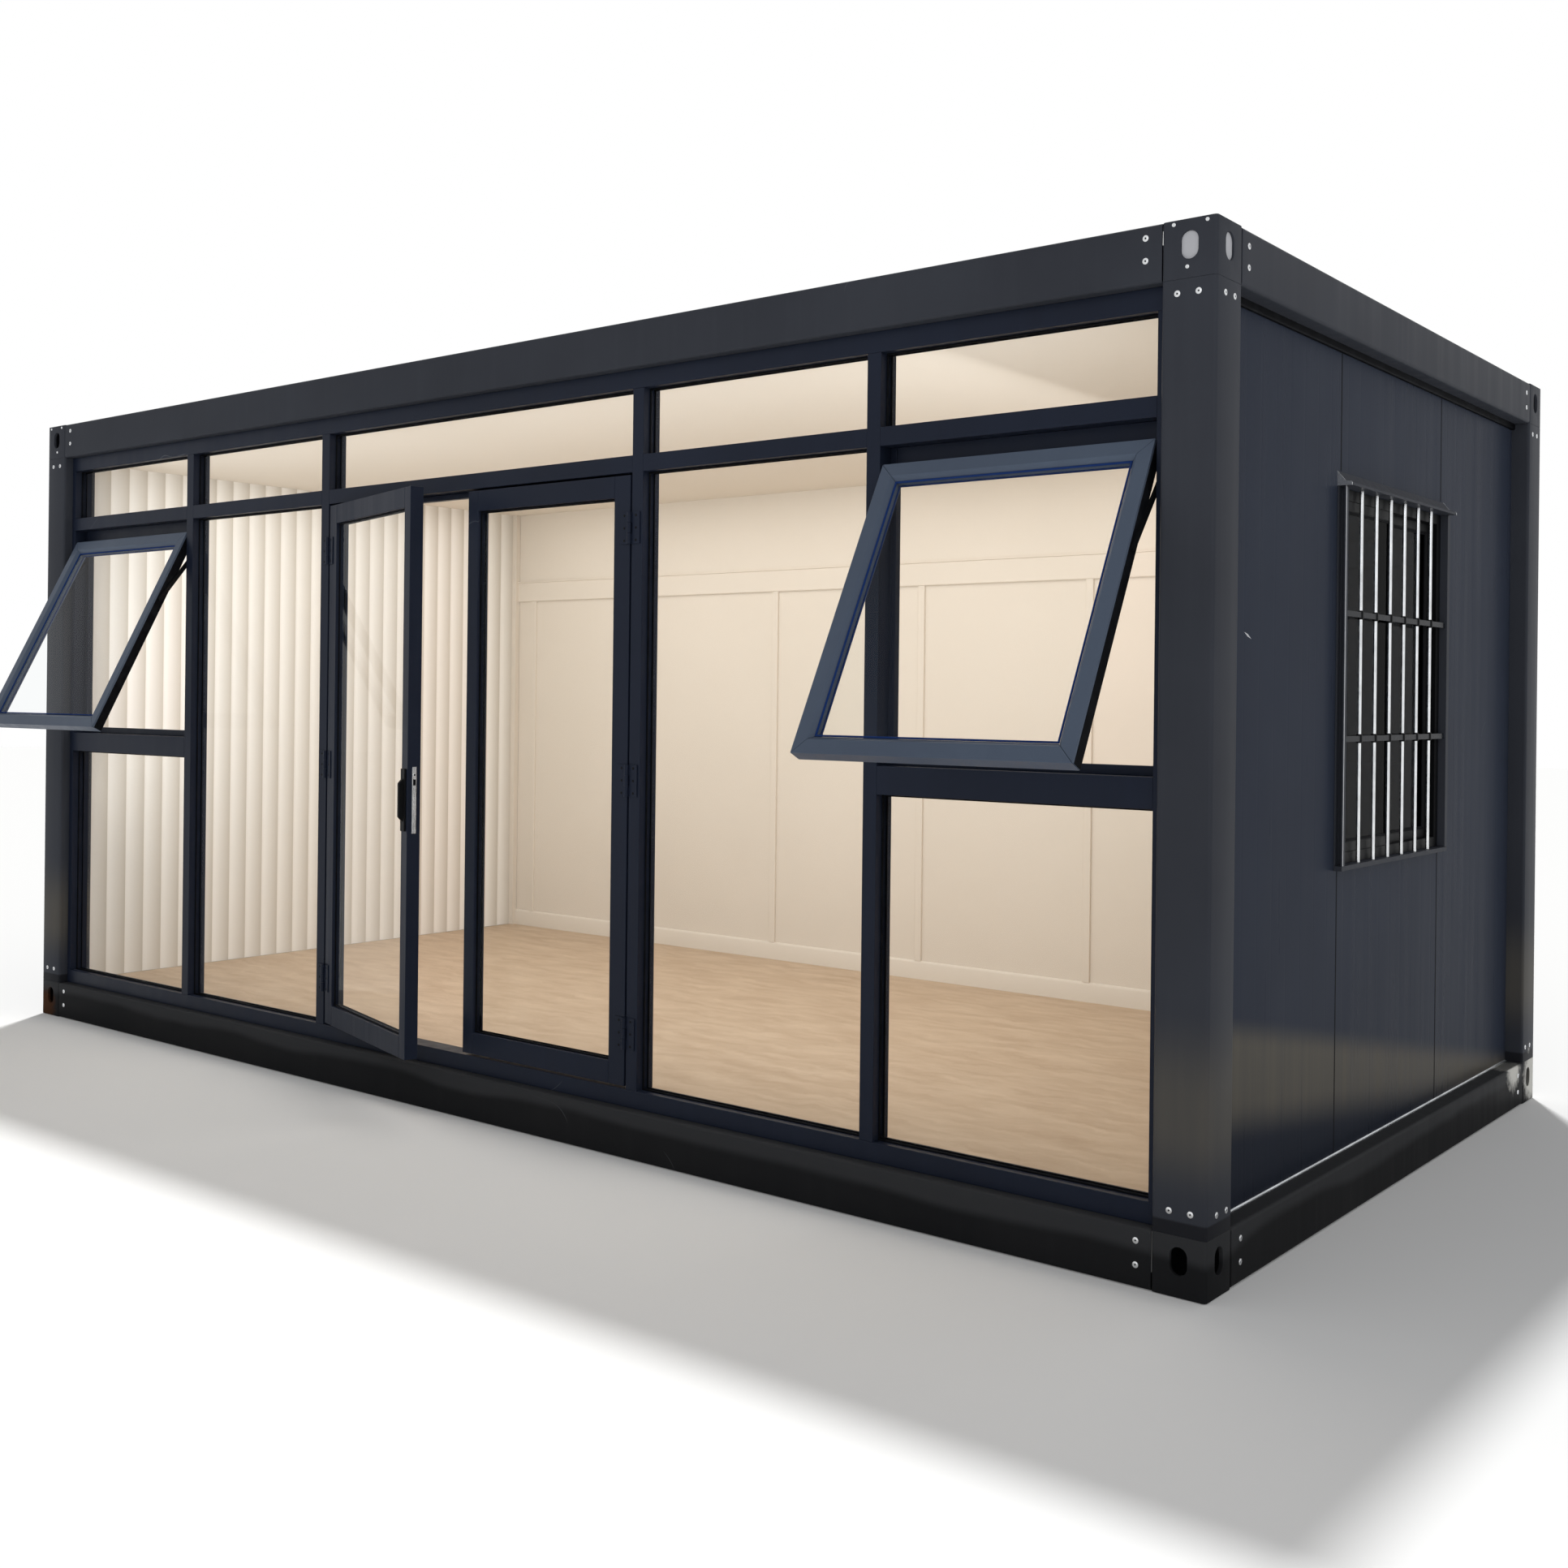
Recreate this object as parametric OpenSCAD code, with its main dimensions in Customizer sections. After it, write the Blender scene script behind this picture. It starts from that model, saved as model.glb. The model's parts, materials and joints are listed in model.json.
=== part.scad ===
// A flat-pack container house: a folded steel frame with eight corner blocks, sandwich panel walls,
// a glazed front with a double door and two open awning windows, and a barred window in one end.
// Millimetres. The origin is on the ground under the middle of the whole box. +X runs along the
// house, the glazed front faces -Y and +Z is up. A recess is a distance behind the frame's outer face.

/* [House] */
// Length of the steel frame
house_l = 5950; // [5700:10:6400]
// Depth of the steel frame from front to back
house_w = 3000; // [2800:10:3400]
// Height of the steel frame
house_h = 2800; // [2760:10:2900]

/* [Steel frame] */
// Width of a corner post and of a corner block
post_w = 155; // [145:5:170]
// Height of a top beam
top_beam_h = 155; // [140:5:170]
// Height of a bottom beam
base_beam_h = 160; // [145:5:175]
// Thickness of the folded steel sections
steel_t = 5; // [4:0.5:7]
// Radius of the folded outer edges
fold_r = 10; // [8:1:16]
// Wall thickness of a corner block
block_t = 12; // [10:1:16]
// Width of a corner block's long hole
hole_w = 49; // [40:1:55]
// Height of a corner block's long hole
hole_h = 74; // [62:1:85]
// Largest spacing of the floor joists
joist_pitch = 620; // [500:10:800]
// Largest spacing of the roof purlins
purlin_pitch = 1150; // [900:10:1300]

/* [Walls and room] */
// Recess of the back and end walls
wall_recess = 65; // [45:1:80]
// Thickness of a sandwich wall panel
wall_t = 50; // [40:5:75]
// Thickness of the inner lining
lining_t = 9; // [6:1:15]
// Gap at a joint between two wall panels
joint_gap = 3; // [2:0.5:5]
// Largest width of a wall panel
panel_w = 960; // [800:10:1200]
// Spacing of the shallow grooves in a wall panel's outer face
groove_pitch = 104; // [80:2:140]
// Depth of a groove in a wall panel
groove_d = 0.5; // [0.3:0.1:2]
// Largest width of a slat on the left wall's lining
slat_w = 98; // [70:1:140]
// Step from one slat to the next
slat_step = 5; // [3:0.5:6]
// Thickness of the floor deck
deck_t = 18; // [15:1:22]
// Thickness of the floor finish
finish_t = 3; // [2:0.5:5]
// Thickness of the ceiling board
ceiling_t = 12; // [9:1:18]

/* [Glazed front] */
// Recess of the front frame
frame_set = 40; // [30:1:50]
// Depth of the front frame
frame_d = 80; // [75:1:84]
// Height of the front sill
sill_h = 60; // [45:1:80]
// Height of the front head
head_h = 64; // [50:1:80]
// Width of a jamb beside a corner post
jamb_w = 29; // [22:1:45]
// Width of a mullion
mullion_w = 50; // [40:1:60]
// Clear width of the door bay
door_bay_w = 1680; // [1600:10:1760]
// Middle of the door bay along the house
door_x = 25; // [0:1:40]
// Height of the top lights
top_light_h = 224; // [180:1:280]
// Height of a transom under a top light
transom_h = 57; // [45:1:65]
// Height of an awning window's opening
awning_h = 955; // [850:1:1000]
// Height of the rail under an awning window
mid_rail_h = 86; // [60:1:110]
// Thickness of a sealed glass unit
glass_t = 20; // [16:1:24]
// Recess of the glass behind the front of its frame
glass_set = 32; // [25:1:38]

/* [Awning windows] */
// Angle that the awning windows stand open
awning_open = 26.7; // [20:0.1:35]
// Face width of a sash bar
sash_bar_w = 58; // [50:1:65]
// Thickness of a sash bar
sash_t = 45; // [38:1:50]
// Bevel on a sash bar's inner edge
sash_bevel = 14; // [8:1:18]
// Clearance beside a sash
sash_gap = 6; // [5:0.5:8]
// Drop of the open sash below its transom
sash_drop = 55; // [45:1:65]

/* [Doors] */
// Angle that the left leaf stands open at rest
door_open = 16.3; // [5:0.1:20]
// Thickness of a door leaf
leaf_t = 50; // [40:1:55]
// Width of a leaf's hinge stile and top rail
leaf_bar_w = 75; // [65:1:85]
// Width of a leaf's meeting stile
meeting_bar_w = 55; // [45:1:65]
// Height of a leaf's bottom rail
leaf_foot_h = 78; // [65:1:110]
// Clearance around a leaf
door_gap = 8; // [6:0.5:10]
// Clearance between the leaves
meeting_gap = 10; // [9:0.5:14]
// Radius of a hinge barrel
barrel_r = 8; // [7:0.5:10]
// Height of the handle's middle above the leaf's foot
handle_up = 934; // [850:1:1000]

/* [End window] */
// Width of the end window's opening
win_w = 950; // [800:5:1050]
// Height of the end window's opening
win_h = 1162; // [1000:2:1200]
// Distance of the end window's head below the top beam
win_drop = 433; // [380:1:480]
// Distance of the window behind the middle of the end wall
win_off = 20; // [-20:5:60]
// Spacing of the round bars
bar_pitch = 132; // [110:1:145]
// Diameter of a round bar
bar_d = 12; // [9:0.5:16]

/* [Hidden] */
$fn = 40;

steel_colour = "#363A41";
wall_colour = "#3D4450";
base_colour = "#1E2125";
frame_colour = "#222833";
sash_colour = "#47525F";
leaf_colour = "#20252D";
glass_colour = [0.62, 0.72, 0.76, 0.35];
bright_colour = "#C9CBCD";
lining_colour = "#DCC9AE";

// Levels
post_top = house_h - top_beam_h;
sill_top = base_beam_h + sill_h;
head_low = post_top - head_h;
transom_top = head_low - top_light_h;
transom_low = transom_top - transom_h;
rail_top = transom_low - awning_h;
rail_low = rail_top - mid_rail_h;
lining_top = post_top - ceiling_t;
deck_low = base_beam_h - finish_t - deck_t;

// Awning sash: its outer face turns about its top edge, which lies just behind the frame's front
sash_set = frame_set + sash_gap;
sash_l = awning_h;
sash_reach = sash_l * sin(awning_open) - sash_set;

// Places along Y, so that the box of the whole house has its middle at 0; end walls keep a fitting gap
// beside the posts
front_y = (sash_reach - house_w) / 2;
back_y = front_y + house_w;
middle_y = (front_y + back_y) / 2;
fit_gap = 0.5;
end_wall_y = [front_y + post_w + fit_gap, back_y - post_w - fit_gap];

// Places along X
right_x = house_l / 2;
post_x = right_x - post_w;
glaze_x = post_x - jamb_w;
door_left = door_x - door_bay_w / 2;
door_right = door_x + door_bay_w / 2;
side_bay_w = (2 * glaze_x - door_bay_w - 4 * mullion_w) / 4;
mullion_step = side_bay_w + mullion_w;
mullion_x = [
  door_left - mullion_w / 2 - mullion_step, door_left - mullion_w / 2,
  door_right + mullion_w / 2, door_right + mullion_w / 2 + mullion_step
];
bays = [
  [-glaze_x, mullion_x[0] - mullion_w / 2],
  [mullion_x[0] + mullion_w / 2, mullion_x[1] - mullion_w / 2],
  [door_left, door_right],
  [mullion_x[2] + mullion_w / 2, mullion_x[3] - mullion_w / 2],
  [mullion_x[3] + mullion_w / 2, glaze_x]
];
awning_bays = [bays[0], bays[4]];
fixed_bays = [bays[1], bays[3]];

// Steel frame details
flange_w = wall_recess + wall_t + lining_t + 1;
roof_flange_w = 60;
hole_rise = 94;
hole_drop = 68;
joist_size = [50, 100];
purlin_size = [50, 90];
roof_z = post_top + steel_t + purlin_size[1];
rib_h = 25;
rib_pitch = 250;
rib_top_w = 30;
rib_foot_w = 70;
sheet_t = 3;

// Width of a wall panel's groove at its face
groove_w = 12;

// Stops that the leaves and the closed sashes meet
stop_w = 22;
seal_gap = 6;
stop_recess = frame_set + leaf_t + seal_gap;
stop_gap = 1;
awning_stop_h = 27;
awning_head_h = 62;

// Door leaves
leaf_w = (door_bay_w - 2 * door_gap - meeting_gap) / 2;
leaf_low = sill_top + door_gap;
leaf_top = transom_low - door_gap;
axis_recess = frame_set - barrel_r;
hinge_edge = door_gap / 2;
hinge_h = 108;
knuckle_h = hinge_h / 3;
knuckle_gap = 1;
pin_r = 4;
bore_r = 4.1;
hinge_plate = [34, 4];
hinge_inset = 180;
hinge_z = [leaf_low + hinge_inset, (leaf_low + leaf_top) / 2, leaf_top - hinge_inset];
handle_z = leaf_low + handle_up;
handle_plate = [34, 8, 225];
handle_ridge = [14, 16, 165];
handle_slope = 22;
lock_size = [4, 16, 240];

// Stays of the awning windows: where one holds to the frame and to the sash, and its width
stay_recess = frame_set + frame_d / 2;
stay_drop = 0.157 * awning_h;
stay_along = 0.34 * awning_h;
stay_w = 18;

// End window
win_y = middle_y + win_off;
win_top = post_top - win_drop;
win_z = win_top - win_h;
win_bar_w = 35;
win_sash_w = 32;
win_sash_t = 22;
win_sash_bevel = 4;
win_pane_t = 8;
win_lap = 20;
track_gap = 1;
track_recess = 3;
surround_w = 26;
surround_d = 26;
surround_foot = 16;
surround_lip = 4;
hood_h = 46;
hood_d = 46;
drip_h = [8, 12, 14];
bar_count = 6;
bar_stand = 13;
bar_recess = wall_recess - bar_stand;
flat_bar = [5, 18];

// Points of an arc of radius r about c, from angle a to angle b
function arc(c, r, a, b, n = 4) =
  [for (i = [0:n]) let (angle = a + (b - a) * i / n) c + r * [cos(angle), sin(angle)]];

// Outline of a folded channel of height h, with its outer web on the line x = 0
function channel(h, low_w, top_w, t, r) = concat(
  [[low_w, 0], [low_w, t], [t, t], [t, h - t], [top_w, h - t], [top_w, h]],
  arc([r, h - r], r, 90, 180), arc([r, r], r, 180, 270)
);

// Outline of a square with round corners, its middle at the origin
function round_square(w, r) = let (c = w / 2 - r) concat(
  arc([c, c], r, 0, 90), arc([-c, c], r, 90, 180), arc([-c, -c], r, 180, 270), arc([c, -c], r, 270, 360)
);

// Range of the given width about a middle, and a range moved by a distance
function about(middle, width) = [middle - width / 2, middle + width / 2];
function moved(range, by) = [range[0] + by, range[1] + by];

// Range in Y between two recesses behind the front
function depth(low, high) = [front_y + low, front_y + high];

// Even parts of a range no wider than the given width, with a gap between neighbours
function parts(range, width, gap) =
  let (n = ceil((range[1] - range[0]) / width), step = (range[1] - range[0] + gap) / n)
  [for (i = [0:n - 1]) [range[0] + i * step, range[0] + (i + 1) * step - gap]];

// A box between two values along each axis
module span(x, y, z) {
  translate([x[0], y[0], z[0]]) cube([x[1] - x[0], y[1] - y[0], z[1] - z[0]]);
}

// The children and their mirror image across the plane x = 0
module both_ends() {
  children();
  mirror([1, 0, 0]) children();
}

// The children and their mirror image across the middle of the house's depth
module both_sides() {
  children();
  translate([0, 2 * middle_y, 0]) mirror([0, 1, 0]) children();
}

// A slot of the given width and height that runs along Y, centred on the origin
module slot_y(w, h, l) {
  rotate([90, 0, 0]) linear_extrude(l, center = true) {
    square([w, h - w], center = true);
    for (s = [-1, 1]) translate([0, s * (h - w) / 2]) circle(d = w);
  }
}

// A hollow corner block at the front right corner, with long holes in its two outer faces
module corner_block(z, h, hole_z) {
  x = right_x - post_w / 2;
  y = front_y + post_w / 2;
  inner = post_w - 2 * block_t;
  difference() {
    translate([x, y, z]) linear_extrude(h) polygon(round_square(post_w, fold_r));
    translate([x - inner / 2, y - inner / 2, z + block_t]) cube([inner, inner, h - 2 * block_t]);
    translate([x, front_y, hole_z]) slot_y(hole_w, hole_h, 3 * block_t);
    translate([right_x, y, hole_z]) rotate([0, 0, 90]) slot_y(hole_w, hole_h, 3 * block_t);
  }
}

// A folded beam along X at the front, and one along Y at the right end
module long_beam(h, low_w, top_w) {
  translate([-post_x, front_y, 0]) rotate([90, 0, 90])
    linear_extrude(2 * post_x) polygon(channel(h, low_w, top_w, steel_t, fold_r));
}
module end_beam(h, low_w, top_w) {
  translate([right_x, back_y - post_w, 0]) rotate([90, 0, 0]) mirror([1, 0, 0])
    linear_extrude(house_w - 2 * post_w) polygon(channel(h, low_w, top_w, steel_t, fold_r));
}

// A plate over the room, inset from the frame and cut back around the four corners
module room_plate(front_inset, inset, z, t) {
  difference() {
    span([-right_x + inset, right_x - inset], [front_y + front_inset, back_y - inset], [z, z + t]);
    both_ends() both_sides()
      span([post_x, right_x], [front_y, front_y + post_w], [z - 1, z + t + 1]);
  }
}

// Cross members between the front and back beams, spread evenly along the house
module cross_members(size, z, pitch) {
  count = ceil(2 * post_x / pitch);
  step = 2 * post_x / count;
  for (i = [0:count - 1])
    translate([-post_x + (i + 0.5) * step - size[0] / 2, back_y - steel_t, z]) rotate([90, 0, 0])
      linear_extrude(house_w - 2 * steel_t)
        polygon(channel(size[1], size[0], size[0], steel_t, steel_t));
}

// Four bars around an opening in the XZ plane, butted at the corners with a small gap
module stop_frame(x, z, w, low_h, top_h, d) {
  for (side = [[x[0], x[0] + w], [x[1] - w, x[1]]]) span(side, d, z);
  inner = [x[0] + w + stop_gap, x[1] - w - stop_gap];
  span(inner, d, [z[1] - top_h, z[1]]);
  if (low_h > 0) span(inner, d, [z[0], z[0] + low_h]);
}

// A bevelled bar of length l along X with both ends cut at 45 degrees, outer edge on z = 0
// and outer face on y = 0
module mitred_bar(l, w, t, bevel, gap = 0.4) {
  outline = [[0, 0], [0, -w + bevel], [bevel, -w], [t, -w], [t, 0]];
  cut = 2 * w;
  difference() {
    translate([gap, 0, 0]) rotate([90, 0, 90]) linear_extrude(l - 2 * gap) polygon(outline);
    translate([gap, 0, 0]) rotate([0, -45, 0]) translate([-cut, -1, -cut]) cube([cut, t + 2, 2 * cut]);
    translate([l - gap, 0, 0]) rotate([0, 45, 0]) translate([0, -1, -cut]) cube([cut, t + 2, 2 * cut]);
  }
}

// Four mitred bars around a sash of width w and height h that hangs down from z = 0
module mitred_frame(w, h, bar, t, bevel) {
  mitred_bar(w, bar, t, bevel);
  translate([w, 0, -h]) rotate([0, 180, 0]) mitred_bar(w, bar, t, bevel);
  translate([0, 0, -h]) rotate([0, -90, 0]) mitred_bar(h, bar, t, bevel);
  translate([w, 0, 0]) rotate([0, 90, 0]) mitred_bar(h, bar, t, bevel);
}

// Places the children at the top outer edge of the open sash in a bay
module open_sash(bay) {
  translate([bay[0] + sash_gap, front_y + sash_set, transom_low - sash_drop])
    rotate([-awning_open, 0, 0]) children();
}
function sash_w(bay) = bay[1] - bay[0] - 2 * sash_gap;

// Steel frame

module bottom_corner_blocks() {
  color(base_colour) both_ends() both_sides() corner_block(0, base_beam_h, hole_rise);
}

module top_corner_blocks() {
  color(steel_colour) both_ends() both_sides()
    corner_block(post_top, top_beam_h, house_h - hole_drop);
}

module corner_posts() {
  color(steel_colour) both_ends() both_sides()
    translate([right_x - post_w / 2, front_y + post_w / 2, base_beam_h])
      linear_extrude(post_top - base_beam_h) difference() {
        polygon(round_square(post_w, fold_r));
        polygon(round_square(post_w - 2 * steel_t, fold_r - steel_t));
      }
}

module bottom_beams() {
  color(base_colour) {
    both_sides() long_beam(base_beam_h, flange_w, flange_w);
    both_ends() end_beam(base_beam_h, flange_w, flange_w);
  }
}

module top_beams() {
  color(steel_colour) translate([0, 0, post_top]) {
    both_sides() long_beam(top_beam_h, flange_w, roof_flange_w);
    both_ends() end_beam(top_beam_h, flange_w, roof_flange_w);
  }
}

module floor_joists() {
  color(base_colour) cross_members(joist_size, deck_low - joist_size[1], joist_pitch);
}

module floor_deck() {
  color("#8D8375") room_plate(flange_w, flange_w, deck_low, deck_t);
}

module floor_finish() {
  color("#BFA88C") room_plate(flange_w, flange_w, base_beam_h - finish_t, finish_t);
}

module roof_purlins() {
  color(steel_colour) cross_members(purlin_size, post_top + steel_t, purlin_pitch);
}

// Outline of one raised rib of the roof sheet at x, on its upper or lower side
function rib(x, z) = [
  [x - rib_foot_w / 2, z], [x - rib_top_w / 2, z + rib_h], [x + rib_top_w / 2, z + rib_h],
  [x + rib_foot_w / 2, z]
];

module roof_sheet() {
  half = right_x - steel_t;
  count = floor(2 * (half - rib_foot_w) / rib_pitch);
  places = [for (i = [0:count]) (i - count / 2) * rib_pitch];
  upper = [for (x = places) each rib(x, sheet_t)];
  lower = [for (i = [count:-1:0]) each [for (k = [3:-1:0]) rib(places[i], 0)[k]]];
  outline = concat([[-half, sheet_t]], upper, [[half, sheet_t], [half, 0]], lower, [[-half, 0]]);
  color("#8A8E92") difference() {
    translate([0, back_y - steel_t, roof_z]) rotate([90, 0, 0])
      linear_extrude(house_w - 2 * steel_t) polygon(outline);
    both_ends() both_sides() span(
      [post_x, right_x], [front_y, front_y + post_w], [roof_z - 1, roof_z + rib_h + sheet_t + 1]
    );
  }
}

module ceiling() {
  color("#ECEBE6") room_plate(frame_set + frame_d, wall_recess + wall_t, lining_top, ceiling_t);
}

// Walls

// Outline of one groove at x in a face on the line y = 0
function groove(x) = [
  [x - groove_w / 2, 0], [x - groove_w / 4, groove_d], [x + groove_w / 4, groove_d], [x + groove_w / 2, 0]
];

// A sandwich panel from x = 0, with its grooved outer face on y = 0 and its body towards +Y
module wall_panel(w, h) {
  count = floor(w / groove_pitch);
  grooves = [for (i = [0:count - 1]) each groove(w / 2 + (i - (count - 1) / 2) * groove_pitch)];
  linear_extrude(h) polygon(concat([[0, 0]], grooves, [[w, 0], [w, wall_t], [0, wall_t]]));
}

module back_wall() {
  color(wall_colour) for (x = parts([-post_x + fit_gap, post_x - fit_gap], panel_w, joint_gap))
    translate([x[1], back_y - wall_recess, base_beam_h]) rotate([0, 0, 180])
      wall_panel(x[1] - x[0], post_top - base_beam_h);
}

module left_end_wall() {
  color(wall_colour) for (y = parts(end_wall_y, panel_w, joint_gap))
    translate([-right_x + wall_recess, y[1], base_beam_h]) rotate([0, 0, -90])
      wall_panel(y[1] - y[0], post_top - base_beam_h);
}

// Ranges in Y and Z of the four pieces around the end window
function around_window(z) =
  let (near = win_y - win_w / 2, far = win_y + win_w / 2, between = [near + joint_gap, far - joint_gap]) [
    [[end_wall_y[0], near], z], [[far, end_wall_y[1]], z],
    [between, [z[0], win_z]], [between, [win_top, z[1]]]
  ];

module right_end_wall() {
  color(wall_colour) for (piece = around_window([base_beam_h, post_top]))
    translate([right_x - wall_recess, piece[0][0], piece[1][0]]) rotate([0, 0, 90])
      wall_panel(piece[0][1] - piece[0][0], piece[1][1] - piece[1][0]);
}

module back_lining() {
  y = back_y - wall_recess - wall_t;
  color(lining_colour) span([-post_x, post_x], [y - lining_t, y], [base_beam_h, lining_top]);
}

// A lining of upright slats, each with one edge proud of the next
module left_lining() {
  slats = parts(end_wall_y, slat_w, 0);
  face = [for (y = slats) each [[lining_t - slat_step, y[0]], [lining_t, y[1]]]];
  outline = concat([[0, slats[0][0]]], face, [[0, slats[len(slats) - 1][1]]]);
  color("#EDE6DC") translate([-right_x + wall_recess + wall_t, 0, base_beam_h])
    linear_extrude(lining_top - base_beam_h) polygon(outline);
}

module right_lining() {
  x = right_x - wall_recess - wall_t;
  color(lining_colour) for (piece = around_window([base_beam_h, lining_top]))
    span([x - lining_t, x], piece[0], piece[1]);
}

// Glazed front

module front_sill() {
  color(frame_colour)
    span([-post_x, post_x], depth(frame_set, frame_set + frame_d), [base_beam_h, sill_top]);
}

module front_head() {
  color(frame_colour)
    span([-post_x, post_x], depth(frame_set, frame_set + frame_d), [head_low, post_top]);
}

module front_jambs() {
  color(frame_colour) both_ends()
    span([glaze_x, post_x], depth(frame_set, frame_set + frame_d), [sill_top, head_low]);
}

module front_mullions() {
  color(frame_colour) for (x = mullion_x)
    span(about(x, mullion_w), depth(frame_set, frame_set + frame_d), [sill_top, head_low]);
}

module front_transoms() {
  color(frame_colour) {
    for (bay = bays) span(bay, depth(frame_set, frame_set + frame_d), [transom_low, transom_top]);
    for (bay = awning_bays) span(bay, depth(frame_set, frame_set + frame_d), [rail_low, rail_top]);
  }
}

// A glass unit in a bay of the front frame
module front_pane(bay, z) {
  span(bay, depth(frame_set + glass_set, frame_set + glass_set + glass_t), z);
}

module top_light_glass() {
  color(glass_colour) for (bay = bays) front_pane(bay, [transom_top, head_low]);
}

module fixed_glass() {
  color(glass_colour) {
    for (bay = fixed_bays) front_pane(bay, [sill_top, transom_low]);
    for (bay = awning_bays) front_pane(bay, [sill_top, rail_low]);
  }
}

module door_stops() {
  color(frame_colour) stop_frame(
    bays[2], [sill_top, transom_low], stop_w, 0, stop_w, depth(stop_recess, frame_set + frame_d)
  );
}

module awning_stops() {
  color(frame_colour) for (bay = awning_bays) stop_frame(
    bay, [rail_top, transom_low], stop_w, awning_stop_h, awning_head_h,
    depth(stop_recess, frame_set + frame_d)
  );
}

module awning_sashes() {
  color(sash_colour) for (bay = awning_bays)
    open_sash(bay) mitred_frame(sash_w(bay), sash_l, sash_bar_w, sash_t, sash_bevel);
}

module awning_glass() {
  color(glass_colour) for (bay = awning_bays)
    open_sash(bay) translate([sash_bar_w, sash_bevel, sash_bar_w - sash_l])
      cube([sash_w(bay) - 2 * sash_bar_w, glass_t, sash_l - 2 * sash_bar_w]);
}

// A stay in the gap beside a sash, from the front frame to the sash's side
module awning_stays() {
  hold = [stay_recess, transom_low - stay_drop];
  meet = [
    sash_set - stay_along * sin(awning_open) + sash_t / 2 * cos(awning_open),
    transom_low - sash_drop - stay_along * cos(awning_open) - sash_t / 2 * sin(awning_open)
  ];
  reach = meet - hold;
  color(bright_colour) for (bay = awning_bays) for (x = [bay[0], bay[1] - sash_gap])
    translate([x, front_y + hold[0], hold[1]]) rotate([atan2(reach[1], reach[0]), 0, 0])
      rotate([90, 0, 90]) linear_extrude(sash_gap) {
        translate([0, -stay_w / 2]) square([norm(reach), stay_w]);
        for (end = [0, norm(reach)]) translate([end, 0]) circle(d = stay_w);
      }
}

// End window

module end_window_frame() {
  x = right_x - wall_recess - wall_t;
  y = [win_y - win_w / 2, win_y + win_w / 2];
  color("#15181C") {
    for (side = [[y[0], y[0] + win_bar_w], [y[1] - win_bar_w, y[1]]])
      span([x, x + wall_t], side, [win_z, win_top]);
    inner = [y[0] + win_bar_w + stop_gap, y[1] - win_bar_w - stop_gap];
    span([x, x + wall_t], inner, [win_z, win_z + win_bar_w]);
    span([x, x + wall_t], inner, [win_top - win_bar_w, win_top]);
  }
}

// The two sliding sashes: the near one runs in the outer track and the far one in the inner track
win_clear = [win_y - win_w / 2 + win_bar_w, win_y + win_w / 2 - win_bar_w];
win_sash_l = (win_clear[1] - win_clear[0] + win_lap) / 2;
module each_window_sash() {
  x = right_x - wall_recess - track_recess;
  for (i = [0, 1])
    translate([x - i * (win_sash_t + track_gap), win_clear[i] - i * win_sash_l, win_top - win_bar_w])
      rotate([0, 0, 90]) children();
}

module end_window_sashes() {
  color("#1B1F24") each_window_sash()
    mitred_frame(win_sash_l, win_h - 2 * win_bar_w, win_sash_w, win_sash_t, win_sash_bevel);
}

module end_window_glass() {
  color(glass_colour) each_window_sash()
    translate([win_sash_w, (win_sash_t - win_pane_t) / 2, win_sash_w - win_h + 2 * win_bar_w])
      cube([win_sash_l - 2 * win_sash_w, win_pane_t, win_h - 2 * win_bar_w - 2 * win_sash_w]);
}

module end_window_grille() {
  x = right_x - bar_recess;
  color(bright_colour) {
    for (i = [0:bar_count - 1])
      translate([x, win_y + (i - (bar_count - 1) / 2) * bar_pitch, win_z])
        cylinder(d = bar_d, h = win_h, $fn = 12);
    for (part = [1 / 3, 2 / 3])
      span(
        [x + bar_d / 2 - flat_bar[0], x + bar_d / 2], about(win_y, win_w),
        about(win_z + part * win_h, flat_bar[1])
      );
  }
}

// Side channels, a foot strip and a hood with a drip edge, on the face of the end wall
module end_window_surround() {
  x = right_x - wall_recess;
  lip = surround_lip;
  side = [
    [0, 0], [surround_w, 0], [surround_w, surround_d], [0, surround_d], [0, surround_d - lip],
    [surround_w - lip, surround_d - lip], [surround_w - lip, lip], [0, lip]
  ];
  hood = [
    [0, 0], [hood_d, 0], [hood_d, drip_h[0]], [hood_d - lip, drip_h[1]], [surround_d, drip_h[2]], [0, hood_h]
  ];
  color(steel_colour) {
    for (s = [-1, 1]) translate([x, win_y + s * (win_w / 2 + surround_w), win_z])
      rotate([0, 0, -90]) mirror([s < 0 ? 1 : 0, 0, 0]) linear_extrude(win_h) polygon(side);
    span(
      [x, x + surround_d], [win_y - win_w / 2 - surround_w, win_y + win_w / 2 + surround_w],
      [win_z - surround_foot, win_z - stop_gap]
    );
    translate([x, win_y + win_w / 2 + surround_w, win_top + stop_gap]) rotate([90, 0, 0])
      linear_extrude(win_w + 2 * surround_w) polygon(hood);
  }
}

// Doors: a leaf is drawn closed, from its hinge axis at the origin towards its free edge along +X

module left_leaf() {
  translate([door_left + hinge_edge, front_y + axis_recess, 0]) rotate([0, 0, -door_open]) children();
}

module right_leaf() {
  translate([door_right - hinge_edge, front_y + axis_recess, 0]) mirror([1, 0, 0]) children();
}

leaf_x = [hinge_edge, hinge_edge + leaf_w];
leaf_y = [barrel_r, barrel_r + leaf_t];
leaf_glass_x = [leaf_x[0] + leaf_bar_w, leaf_x[1] - meeting_bar_w];
leaf_glass_z = [leaf_low + leaf_foot_h, leaf_top - leaf_bar_w];

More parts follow.
